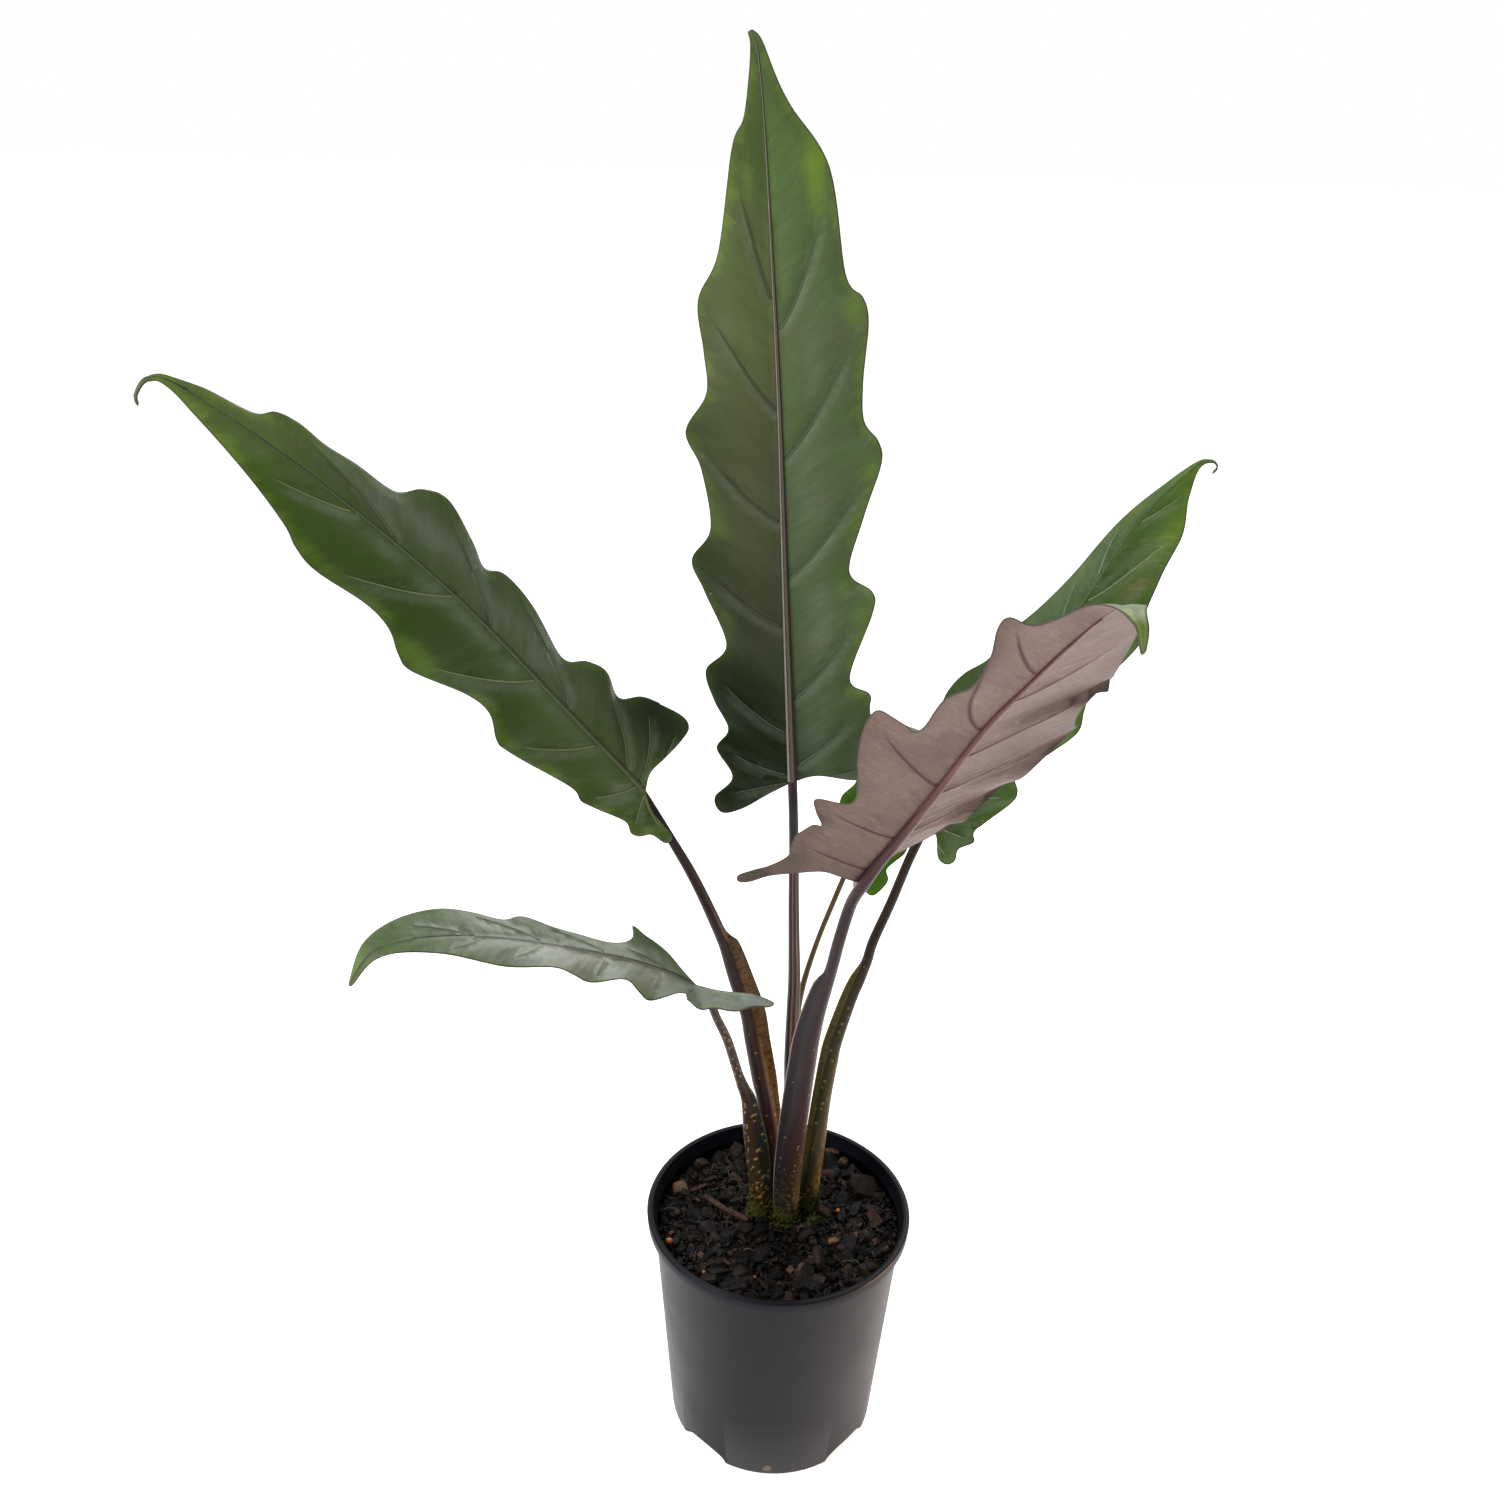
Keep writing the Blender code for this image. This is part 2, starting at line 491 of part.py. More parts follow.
def stalk_stations(blade):
    """Rings of a stalk in millimetres: centre, half width, half depth, wing, and width direction."""
    keys = [list(key) for key in blade.leaf["stalk"]]
    keys[0][2] = STALK_FOOT / MM
    start = keys[-1][3]
    reach = RIB_REACH * blade.length
    stations = np.linspace(0, reach, round(reach / RIB_STEP) + 1)
    point, _, normal, sideways = blade.frames(stations)
    half = start + (RIB_END_HALF - start) * (stations / reach) ** 0.8
    clear = BLADE_THICKNESS / MM / 2 + RIB_GAP
    rib = point - normal * (clear + half)[:, None]
    if sideways[0, 0] < 0:
        sideways = -sideways
    # The petiole's keys, then the rib's: position, half width, wing
    first = np.array(keys)
    second = np.column_stack([rib, half, np.zeros(len(rib))])
    petiole = smooth_curve(np.vstack([first, second[:2]]), 6)[: 6 * len(first)]
    spaced = resampled(petiole[:, :3], 13)
    lengths = lengths_along(petiole[:, :3])
    wanted = lengths_along(spaced) * lengths[-1] / lengths_along(spaced)[-1]
    lower = at_lengths(petiole, lengths, wanted)[:-1]
    rings = np.vstack([lower, second])
    tangents = unit(np.gradient(rings[:, :3], axis=0))
    to_notch = np.maximum(0, lengths_along(rings[:, :3])[len(lower)] - lengths_along(rings[:, :3]))
    share = np.clip(to_notch / TURN_LENGTH, 0, 1)[:, None]
    blend = share * share * (3 - 2 * share)
    turn = np.vstack([np.repeat(sideways[:1], len(lower), axis=0), sideways])
    width = turn * (1 - blend) + np.array([1.0, 0, 0]) * blend
    tangents[0] = (0, 0, 1)
    width = unit(width - (width * tangents).sum(1, keepdims=True) * tangents)
    return rings, tangents, width


def make_stalk(name, blade, parts):
    rings, tangents, width = stalk_stations(blade)
    depth = np.cross(tangents, width)
    # A straight tube to start from, whose rings are then moved to their places
    bm = bmesh.new()
    bmesh.ops.create_grid(bm, x_segments=STALK_SIDES, y_segments=len(rings) - 1, size=1)
    for vert in bm.verts:
        turn = 2 * math.pi * (round((vert.co.x + 1) / 2 * STALK_SIDES) % STALK_SIDES) / STALK_SIDES
        row = round((vert.co.y + 1) / 2 * (len(rings) - 1))
        x, y, z, half, wing = rings[row]
        across = math.cos(turn)
        reach = half + (abs(wing) if across * wing > 0 else 0)
        vert.co = Vector((rings[row][:3] + width[row] * across * reach + depth[row] * math.sin(turn) * half) * MM)
    bmesh.ops.remove_doubles(bm, verts=bm.verts, dist=0.000001)
    bmesh.ops.holes_fill(bm, edges=bm.edges, sides=0)
    bmesh.ops.recalc_face_normals(bm, faces=bm.faces)
    bmesh.ops.triangulate(bm, faces=bm.faces)
    mesh = mesh_from(bm, name)
    mesh.set_sharp_from_angle(angle=math.radians(50))
    new_object(name, mesh, "stalk", parts)


def main():
    for obj in list(bpy.data.objects):
        bpy.data.objects.remove(obj)
    parts = bpy.data.collections.new("potted_alocasia")
    cutters = bpy.data.collections.new("cutters")
    for collection in (parts, cutters):
        bpy.context.scene.collection.children.link(collection)
    make_pot(parts, cutters)
    make_soil(parts, cutters)
    make_rhizome(parts)
    for name, leaf in LEAVES.items():
        blade = Blade(leaf)
        make_stalk("stalk_" + name, blade, parts)
        make_blade("blade_" + name, blade, parts)
    root = bpy.data.objects.new("potted_alocasia", None)
    parts.objects.link(root)
    for obj in list(parts.objects) + list(cutters.objects):
        if obj is not root:
            obj.parent = root


main()
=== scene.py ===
"""Looks for the potted alocasia: veined blades, sheathed stalks, bark mix, moss and a satin nursery pot.

Metres, +Z up, in the CAD's frame. Leaf and stalk shapes are in millimetres and repeat the CAD's values.
"""

import json
import math
from itertools import product

import bmesh
import bpy
import numpy as np
from mathutils import Matrix, Vector, noise
from mathutils.geometry import delaunay_2d_cdt
from mathutils.kdtree import KDTree

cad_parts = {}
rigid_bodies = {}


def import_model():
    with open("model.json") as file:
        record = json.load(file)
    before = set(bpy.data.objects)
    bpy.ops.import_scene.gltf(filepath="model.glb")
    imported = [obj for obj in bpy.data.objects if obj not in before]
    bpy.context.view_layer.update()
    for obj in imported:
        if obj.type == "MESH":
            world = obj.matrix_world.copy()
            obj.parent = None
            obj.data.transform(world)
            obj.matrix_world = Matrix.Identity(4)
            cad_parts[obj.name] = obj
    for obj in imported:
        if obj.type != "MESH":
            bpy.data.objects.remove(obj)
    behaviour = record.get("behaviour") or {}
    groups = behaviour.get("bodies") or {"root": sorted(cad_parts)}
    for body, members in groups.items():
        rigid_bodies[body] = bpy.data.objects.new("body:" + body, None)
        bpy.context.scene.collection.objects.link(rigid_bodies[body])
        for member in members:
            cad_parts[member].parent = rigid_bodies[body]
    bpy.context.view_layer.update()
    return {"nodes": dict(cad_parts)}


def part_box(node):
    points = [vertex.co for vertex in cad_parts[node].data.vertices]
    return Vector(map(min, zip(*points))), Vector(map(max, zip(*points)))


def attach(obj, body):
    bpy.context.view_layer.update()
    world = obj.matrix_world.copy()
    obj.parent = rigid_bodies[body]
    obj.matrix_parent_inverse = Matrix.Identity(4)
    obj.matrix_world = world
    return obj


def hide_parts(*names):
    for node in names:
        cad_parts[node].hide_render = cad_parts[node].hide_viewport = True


MM = 0.001
SEED = 11

# Camera of the photograph
LENS_MM = 33.6
SENSOR_MM = 36.0
EYE = (-0.0218, -0.587, 0.659)
PITCH_DEG = 23.8
ROLL_DEG = -1.57

# Studio: strength of the room's light, of the white sweep behind and of the lit floor
ROOM_LIGHT = 0.26
SWEEP_LIGHT = 0.95
FLOOR_GLOW = 0.75
FLOOR_TONE = (0.86, 0.86, 0.86)
FLOOR_REACH = 30.0
FLOOR_DROP = 0.0002

# Lamps: name, place, what each points at, size, watts, colour and spread in degrees
LAMPS = [("key", (-1.25, -0.75, 1.55), (0, 0, 0.35), (0.9, 0.9), 26, (1, 1, 1), 180),
         ("back", (0.25, 1.25, 1.55), (0, 0, 0.30), (1.2, 0.8), 14, (1, 1, 1), 180),
         ("warm", (0.75, -0.10, 0.07), (0, 0, 0.06), (0.34, 0.12), 1.1, (1.0, 0.60, 0.34), 42)]

# Pot
POT_HEIGHT = 0.135
RIM_RADIUS = 0.070
RIM_BAND = 0.006
RIM_INNER_RADIUS = 0.0664
BODY_TOP_RADIUS = 0.0660
BASE_RADIUS = 0.0560
WALL = 0.0014
FLOOR = 0.0025
FLOOR_RADIUS = 0.044
CHAMFER_TOP = 0.0135
POT_STEPS = 160
POT_SHARP_DEG = 38
RECESS_ANGLES = (48, 138, 228, 318)
RECESS_FOOT_RADIUS = 0.046
RECESS_TOP = 0.0080
RECESS_WIDTH = 0.0215
RECESS_REACH = 0.030
RECESS_SIDES = 96
SLOT_WIDTH = 0.013
SLOT_HEIGHT = 0.0045
SLOT_LENGTH = 0.016

# Potting mix
GAP = 0.0003
SOIL_TOP = 0.1235
SOIL_BUMP = 0.0022
SOIL_MOUND = 0.0025
SOIL_REACH = 0.0655
SOIL_COLUMNS = 200
SOIL_RING = 0.0012
CRUMB = 0.0006
CHIPS = 560
GRAINS = 2900
FIBRES = 170
FIBRE_STEPS = 6
TUFTS = 1500

# Bark pieces that stand out: x, y, rise, length, width, thickness, heading and tilt in degrees, tone.
MARKED_CHIPS = [
    (-0.0335, 0.0070, 0.0046, 0.0150, 0.0026, 0.0020, -37, 4, 0.86),
    (-0.0225, -0.0010, 0.0044, 0.0150, 0.0024, 0.0018, -36, -5, 0.85),
    (-0.0432, 0.0188, 0.0042, 0.0100, 0.0016, 0.0014, 38, 5, 0.84),
    (0.0523, 0.0008, 0.0036, 0.0085, 0.0050, 0.0026, -50, 24, 0.85),
    (0.0211, -0.0317, 0.0044, 0.0070, 0.0100, 0.0024, 20, 62, 0.66),
    (-0.0537, 0.0208, 0.0030, 0.0060, 0.0050, 0.0040, 30, 10, 0.93),
    (0.0314, 0.0541, 0.0026, 0.0070, 0.0046, 0.0038, 10, 5, 0.90),
    (0.0373, 0.0458, 0.0024, 0.0050, 0.0042, 0.0038, 60, 12, 0.88),
    (0.0289, -0.0178, 0.0032, 0.0052, 0.0030, 0.0020, 35, 20, 0.96),
    (0.0065, -0.0371, 0.0030, 0.0050, 0.0028, 0.0018, 60, 20, 0.93),
    (-0.0430, 0.0400, 0.0040, 0.0110, 0.0050, 0.0030, 70, 30, 0.78),
    (0.0480, 0.0240, 0.0040, 0.0150, 0.0110, 0.0040, 25, 28, 0.60),
    (0.0284, 0.0354, 0.0030, 0.0070, 0.0034, 0.0024, 5, 8, 0.87),
]

# Fertiliser beads: x, y, radius.
BEADS = [(-0.0572, -0.0196, 0.0020), (0.0326, 0.0054, 0.0012), (-0.0120, -0.0430, 0.0008),
         (-0.0380, -0.0410, 0.0010)]

# Crown
CROWN_CENTRE = (0.005, 0.008)
CROWN_TOP = 0.1262

# Blades
BLADE_THICKNESS = 0.8
CREASE = 4.0
VEIN_SLANT = 0.6
RUFFLE = 0.55
RUFFLE_MEAN_REACH = 17
MIDRIB_STEPS = 30
EDGE_STEPS = 8
EDGE_STEP = 1.5
CELL = 2.5
DOME = 1.25
LOW_LEAF_DOME = 0.5
DOME_REACH = 7.0
LEAF_APART = 700
PATCH_KINDS = ("bright", "dark", "grey", "green", "olive", "brown", "fold", "pale")

# Stalks
STALK_FOOT = CROWN_TOP + GAP
STALK_SIDES = 40
STALK_STEP = 3.0
STALK_APART = 90
RIB_GAP = 0.55
RIB_STEP = 6.0
RIB_REACH = 0.86
RIB_COVER = 0.1
RIB_END_HALF = 0.55
TURN_LENGTH = 60.0
GROOVE_LOW = 195.0
GROOVE_HIGH = 340.0
GROOVE_DEPTH = 0.55

# Each leaf, in millimetres, as in the CAD. midrib: points from the notch where the stalk joins to the tip.
# facing: the way the upper side looks. left and right: each half's edge as (along the midrib, out from it).
# fold: (share of length, degrees raised). tail: degrees that the lobes behind the notch hang. ruffle: how
# strongly the edge waves. stalk: (x, y, z, half width, wing) from the crown to the notch.
LEAVES = {
    "centre": {
        "midrib": [(-1, 20, 375), (-7, 35, 461), (-13, 50, 550), (-20, 62, 632), (-24, 68, 672),
                   (-27, 69, 692), (-30, 66, 698)],
        "facing": (0, -1, 0.35),
        "fold_left": [(0, 10), (1, 10)],
        "fold_right": [(0, 10), (1, 10)],
        "tail": 0,
        "left": [(-5, 12), (-11, 25), (-12, 35), (-4, 38), (5, 29), (20, 36), (28, 30), (43, 36), (58, 39),
                 (68, 29), (94, 38), (109, 43), (122, 34), (149, 37), (166, 43), (182, 33), (200, 33),
                 (222, 34), (241, 24), (283, 15), (295, 9), (312, 5)],
        "right": [(3, 12), (1, 28), (2, 38), (12, 42), (34, 38), (43, 38), (50, 29), (81, 40), (91, 40),
                  (100, 30), (125, 37), (148, 45), (158, 44), (167, 38), (184, 38), (208, 41), (219, 39),
                  (229, 32), (272, 27), (298, 12), (312, 6)],
        "stalk": [(6, 17.5, 0, 4.3, 0), (6, 18, 157, 4.0, 0), (5, 18, 190, 3.7, 0), (4, 18, 215, 3.6, 0),
                  (4, 19, 244, 3.4, 0), (4, 20, 264, 3.2, 0), (3, 20, 287, 2.9, 0), (2, 20, 310, 2.7, 0),
                  (1, 20, 338, 2.4, 0), (0, 20, 358, 2.3, 0)],
    },
    "left": {
        "midrib": [(-69, -10, 382), (-102, -20, 425), (-145, -40, 484), (-191, -60, 535), (-232, -69, 568),
                   (-243, -71, 572), (-247, -75, 567), (-246, -77, 563)],
        "facing": (0.45, -0.75, 0.6),
        "fold_left": [(0, 5), (1, 5)],
        "fold_right": [(0, 10), (0.2, -12), (0.6, -15), (1, 0)],
        "tail": 0,
        "left": [(-8, 4), (-17, 5), (-25, 6), (-24, 11), (-15, 13), (-10, 18), (-5, 20), (1, 18), (19, 25),
                 (26, 27), (33, 25), (70, 35), (78, 35), (85, 27), (98, 28), (128, 39), (137, 37),
                 (145, 30), (158, 28), (183, 31), (194, 28), (201, 23), (219, 16), (243, 8), (256, 4),
                 (266, 2.5)],
        "right": [(4, 8), (3, 18), (2, 30), (3, 37), (9, 39), (23, 35), (30, 32), (37, 25), (50, 29),
                  (60, 26), (70, 19), (97, 25), (115, 26), (123, 22), (134, 27), (152, 33), (163, 29),
                  (172, 20), (192, 17), (205, 15), (217, 15), (226, 13), (232, 8), (250, 5), (264, 2.5)],
        "stalk": [(-5, 13, 0, 5.0, 0), (-2, 12.5, 141, 5.2, 0), (-5, 11.5, 169, 4.8, 2),
                  (-9, 10.5, 196, 4.4, 3.2), (-12, 10, 209, 4.2, 4.8), (-17, 8, 235, 3.6, 6),
                  (-20, 7, 252, 3.3, 6.5), (-26, 5, 272, 3.1, 6.5), (-31.5, 2, 294, 2.9, 4.6),
                  (-33.2, 1.4, 299.5, 3.0, 1.2), (-34.8, 1, 304, 2.95, 0), (-41.4, -1, 321, 2.7, 0),
                  (-48.7, -3, 338, 2.5, 0), (-58, -6, 357, 2.2, 0)],
    },
    "low_left": {
        "midrib": [(-44, -30, 292), (-59, -34, 302), (-83, -40, 313), (-128, -55, 330), (-162, -65, 335),
                   (-181, -72, 332), (-192, -78, 318)],
        "facing": (0, -0.25, 1),
        "fold_left": [(0, 15), (0.3, 5), (1, 0)],
        "fold_right": [(0, 15), (0.3, 0), (1, 0)],
        "tail": 30,
        "ruffle_left": -0.75,
        "left": [(-12, 4), (-26, 6), (-35, 12), (-32, 16), (-24, 16), (-15, 20), (-5, 18), (3, 20), (8, 16),
                 (14, 16), (26, 22), (33, 19.5), (41, 16), (57, 18.5), (66, 16.5), (75, 15), (98, 16),
                 (124, 10), (144, 6), (160, 3)],
        "right": [(8, 5), (18, 11.5), (29, 15.5), (35.5, 18.5), (34.5, 14), (38, 11), (47, 9.5), (70, 11),
                  (87, 14), (96, 12), (110, 14.5), (123, 16), (135, 14.5), (147, 11), (161, 6)],
        "stalk": [(-10, 2.5, 0, 5.2, 1), (-11, 2, 140, 4.8, 2), (-12, 1, 150, 4.2, 3.8),
                  (-16, -3, 180, 3.4, 5.4), (-19, -9, 210, 2.5, 2.9), (-21.3, -12, 221, 2.5, 1),
                  (-23.6, -14, 231, 2.4, 0), (-28.9, -20, 254, 2.3, 0), (-34, -24, 269, 2.1, 0),
                  (-38, -27, 281, 2.0, 0)],
    },
    "front": {
        "midrib": [(26, -60, 366), (39, -80, 398), (50, -105, 433), (60, -135, 471), (68, -160, 497),
                   (75, -182, 519), (82, -205, 538), (84, -222, 539), (85, -225, 531)],
        "facing": (-0.1, 0.7, 0.7),
        "fold_left": [(0, 60), (0.1, 22), (0.3, 12), (1, 10)],
        "fold_right": [(0, 10), (1, 10)],
        "tail": 0,
        "left": [(-10, 6), (-16, 14), (-10, 22), (4, 24), (18, 26), (28, 38), (33, 42), (42, 32), (52, 28),
                 (61, 35), (68, 44), (75, 40), (86, 37), (96, 42), (106, 52), (115, 46), (131, 38.5),
                 (145, 36), (152, 44), (163, 36.5), (193, 28), (212, 19.5), (226, 11.5), (235, 8),
                 (246, 4.4)],
        "right": [(2.5, 10), (3.5, 18.5), (-2, 28.5), (-8, 37.5), (-16, 43.5), (-18, 48), (-13, 50),
                  (-5.5, 45), (0, 40.5), (10, 36.5), (22, 39), (32, 38), (40, 36.5), (43, 34), (49, 38),
                  (56, 39.5), (68, 29), (98, 36), (116, 39), (129, 38), (130, 33), (126, 26), (131, 22),
                  (150, 20.5), (165, 17), (185, 19), (200, 22.5), (208, 22), (212, 15), (237, 7)],
        "stalk": [(5, 0, 0, 5.4, -2), (6, -2, 154, 5.2, -4.1), (7, -7, 184, 5.0, -4.5),
                  (9, -14, 215, 4.5, -5.3), (11, -22, 245, 3.9, -5.9), (12, -27, 261, 3.6, -5.9),
                  (13.8, -33, 280, 3.3, -5.0), (16.5, -40.5, 301, 3.0, -3.4), (17.4, -42.3, 307, 2.9, -0.6),
                  (18.4, -45, 315, 2.85, 0), (20.3, -50, 331, 2.8, 0), (23.7, -56, 352, 2.7, 0)],
    },
    "right": {
        "midrib": [(67, 50, 337), (105, 75, 392), (145, 100, 441), (171, 115, 479), (200, 128, 507),
                   (210, 131, 511), (214, 131, 508), (211, 129, 505)],
        "facing": (-0.3, -0.7, 0.66),
        "fold_left": [(0, 10), (0.5, -10), (1, 0)],
        "fold_right": [(0, 10), (1, 10)],
        "tail": 0,
        "left": [(-2, 8), (-9, 16), (-8, 23), (8, 27), (15, 24), (35, 30), (48, 25), (64, 29), (78, 28),
                 (92, 23), (108, 23), (122, 20), (136, 17), (157, 13), (177, 10), (198, 7), (218, 4),
                 (235, 2.5)],
        "right": [(1, 8), (-8, 16), (-9, 22), (-5, 25), (1, 23), (8, 28), (14, 25), (34, 34), (41, 33),
                  (48, 27), (66, 36), (82, 42), (94, 37), (106, 33), (125, 38), (140, 39), (150, 32),
                  (172, 28), (197, 24), (217, 11), (231, 4), (240, 2.5)],
        "stalk": [(16, 8.5, 0, 5.2, -0.5), (17.5, 10, 143, 4.8, -1.2), (20, 14, 167, 4.3, -2.3),
                  (22.5, 19, 190, 3.7, -2.8), (26, 24, 212, 3.3, -3.6), (28, 26, 223, 3.1, -3.6),
                  (34.5, 30, 246, 2.9, -3.0), (38.5, 32, 257, 2.8, -2.5), (40.3, 33.2, 262.5, 2.75, -0.9),
                  (42, 34.4, 267.5, 2.7, 0), (44.8, 37, 278, 2.6, 0), (53, 42, 298, 2.5, 0),
                  (61, 47, 320, 2.4, 0)],
    },
    "young": {
        "midrib": [(36, 61, 324), (48, 82, 340), (62, 104, 352), (76, 122, 358)],
        "facing": (0, -0.75, 0.66),
        "fold_left": [(0, 10), (1, 10)],
        "fold_right": [(0, 10), (1, 10)],
        "tail": 0,
        "left": [(-7, 5), (-14, 8), (-15, 13), (-5, 16), (4, 14), (16, 18), (28, 15), (42, 17), (58, 12),
                 (72, 5)],
        "right": [(-8, 7), (-19, 12), (-25, 14), (-27, 19), (-22, 22), (-15, 23), (-10, 20), (-4, 22),
                  (3, 25), (12, 24), (24, 21), (36, 22), (50, 18), (64, 10), (74, 5)],
        "stalk": [(13, 20, 0, 2.2, 0), (10, 24, 160, 1.9, 0), (8, 27, 183, 1.7, 0), (7, 34, 223, 1.6, 0),
                  (9, 39, 245, 1.6, 0), (16, 46, 270, 1.4, 0), (25, 53, 294, 1.4, 0),
                  (32, 58, 312, 1.4, 0)],
    },
}

# How much narrower than the outline a leaf's last centimetres are, and the midrib's width, as shares.
TIP_FINENESS = {"left": 0.62, "right": 0.55, "front": 0.35}
RIB_WIDTHS = {"centre": 1.0, "left": 0.50, "low_left": 0.42, "front": 0.62, "right": 0.50, "young": 0.45}

# Veins of each half: (root on the midrib, end along, end out, bow), in millimetres. A bow over 1 bends the
# vein out sooner.
VEINS = {
    "centre": {
        "left": [(216, 276, 15, 0.9), (171, 221, 32, 0.9), (122, 165, 41, 1), (74, 108, 41, 1),
                 (23, 58, 37, 1), (3, 20, 34, 1), (0, -4, 36, 1)],
        "right": [(206, 268, 26, 1.1), (150, 212, 38, 1), (96, 152, 43, 1), (39, 87, 38, 1), (7, 39, 36, 1),
                  (0, 8, 40, 1)],
    },
    "left": {
        "left": [(181, 222, 12, 1.1), (129, 184, 29, 1), (76, 132, 37, 1), (33, 74, 34, 1), (5, 25, 25, 1),
                 (0, -6, 19, 1), (0, -22, 8, 1.6)],
        "right": [(162, 222, 13, 1.3), (107, 157, 32, 0.9), (55, 114, 25, 1.25), (14, 51, 27, 1),
                  (5, 28, 32, 1.2), (0, 8, 37, 1)],
    },
    "low_left": {
        "left": [(77, 99, 14, 0.9), (48, 58, 20, 0.9), (20, 29, 22, 1), (4, 6, 18, 1), (0, -28, 14, 0.7),
                 (104, 126, 9, 1)],
        "right": [(77, 124, 16, 1), (46, 87, 13, 1.1), (14, 45, 8, 1.1), (0, 33, 19, 1), (110, 146, 10, 1)],
    },
    "front": {
        "left": [(155, 202, 25, 1), (109, 154, 39, 0.9), (79, 111, 47, 0.8), (45, 72, 43, 1),
                 (20, 33, 41, 1), (5, 11, 24, 1), (0, -13, 17, 1)],
        "right": [(131, 196, 19, 1.7), (85, 124, 37, 0.9), (40, 52, 38, 1), (12, 22, 38, 1),
                  (0, -16, 46, 1), (178, 208, 20, 1)],
    },
    "right": {
        "left": [(155, 190, 7, 1.2), (123, 160, 12, 1.2), (80, 110, 22, 1), (45, 70, 28, 1),
                 (15, 36, 29, 1), (0, -6, 21, 1)],
        "right": [(142, 202, 24, 1), (95, 136, 38, 1), (58, 84, 41, 1), (22, 37, 33, 1), (4, 8, 27, 1),
                  (0, -7, 23, 1), (190, 220, 9, 1)],
    },
    "young": {
        "left": [(24, 42, 16, 1), (4, 15, 17, 1), (0, -12, 11, 1)],
        "right": [(34, 49, 17, 1), (16, 34, 21, 1), (4, 10, 24, 1), (0, -20, 20, 1)],
    },
}

# Every colour from here on is linear RGB. A TINT is multiplied with the colour under it.
GREEN_PATCH = (0.052, 0.100, 0.016)
OLIVE_PATCH = (0.100, 0.088, 0.048)
BROWN_PATCH = (0.110, 0.085, 0.022)
PAINTED_SHADE_PATCH_TINT = (0.18, 0.23, 0.18)
PAINTED_LIGHT_PATCH_TINT = (1.75, 1.60, 1.75)
STREAK_SHEEN_TINT = (1.40, 1.34, 1.40)
VEIN_SIDE_SHADE_TINT = (0.62, 0.66, 0.60)
VEIN_SHADE_TINT = (0.34, 0.32, 0.30)
TOP_MARGIN = (0.040, 0.032, 0.030)
SPECK = (0.32, 0.33, 0.24)
UNDER = (0.200, 0.138, 0.116)
UNDER_SHADED = (0.176, 0.118, 0.094)
UNDER_DARK = (0.096, 0.054, 0.045)
UNDER_PAINTED_SHADE_TINT = (0.34, 0.36, 0.32)
UNDER_PALE = (0.310, 0.232, 0.200)
UNDER_GREEN = (0.075, 0.110, 0.035)
UNDER_RIDGE_HIGHLIGHT_TINT = (1.25, 1.25, 1.25)
UNDER_VEIN = (0.060, 0.020, 0.020)
UNDER_RIB = (0.110, 0.048, 0.040)
UNDER_RIB_FOOT = (0.036, 0.014, 0.015)
UNDER_MARGIN = (0.050, 0.044, 0.030)
FOLD_GREEN = (0.020, 0.036, 0.012)
SHEATH_SHADOW = (0.004, 0.003, 0.003)
GROOVE_EDGE = (0.170, 0.110, 0.085)
GROOVE_BED = (0.050, 0.018, 0.014)
STALK_STREAK_TINT = (1.6, 1.5, 1.45)
RIB_STREAK_TINT = (1.7, 1.6, 1.6)
STALK_MOSS = (0.080, 0.085, 0.016)
SCUFF = (0.050, 0.047, 0.042)
DUST = (0.100, 0.090, 0.075)
SOIL_TONES = ((0.0022, 0.0018, 0.0016), (0.0085, 0.0060, 0.0046), (0.0150, 0.0100, 0.0070))
BARK_FIBRE_TINT = (1.9, 1.8, 1.7)
BARK_CRUST = (0.0056, 0.0045, 0.0038)
FIBRE_TONES = ((0.022, 0.014, 0.010), (0.190, 0.150, 0.100), (0.030, 0.020, 0.014))
MOSS_TONES = ((0.030, 0.034, 0.007), (0.130, 0.140, 0.022), (0.045, 0.045, 0.012))
BEAD_TONES = ((0.52, 0.150, 0.012), (0.36, 0.085, 0.008))
CROWN_TONES = ((0.026, 0.026, 0.008), (0.085, 0.088, 0.018))

# A chip's tone picks its colour: near black, through brown, to a rare tan.
BARK_TONES = ((0.00, (0.0013, 0.0012, 0.0012)), (0.45, (0.0074, 0.0052, 0.0040)),
              (0.76, (0.0270, 0.0165, 0.0118)), (0.86, (0.0420, 0.0200, 0.0140)),
              (0.94, (0.1100, 0.0600, 0.0350)), (1.00, (0.2300, 0.1300, 0.0650)))

# The pot's body, lip and inside: name, colour, roughness, specular level. The lip and inside are the body's
# plastic painted darker, as painted shade.
POT_LOOKS = (("pot_body", (0.0056, 0.0062, 0.0100), 0.38, 0.145),
             ("pot_lip", (0.0040, 0.0040, 0.0042), 0.45, 0.06),
             ("pot_inside", (0.0012, 0.0012, 0.0013), 0.55, 0.03))

# A brown smear at the foot and a small dark dot, on the pot's front: centre, reach, colour.
STAINS = (((-0.0020, -0.0560, 0.0050), 0.0035, (0.16, 0.11, 0.07)),
          ((0.0380, -0.0480, 0.1000), 0.0014, (0.01, 0.01, 0.01)))
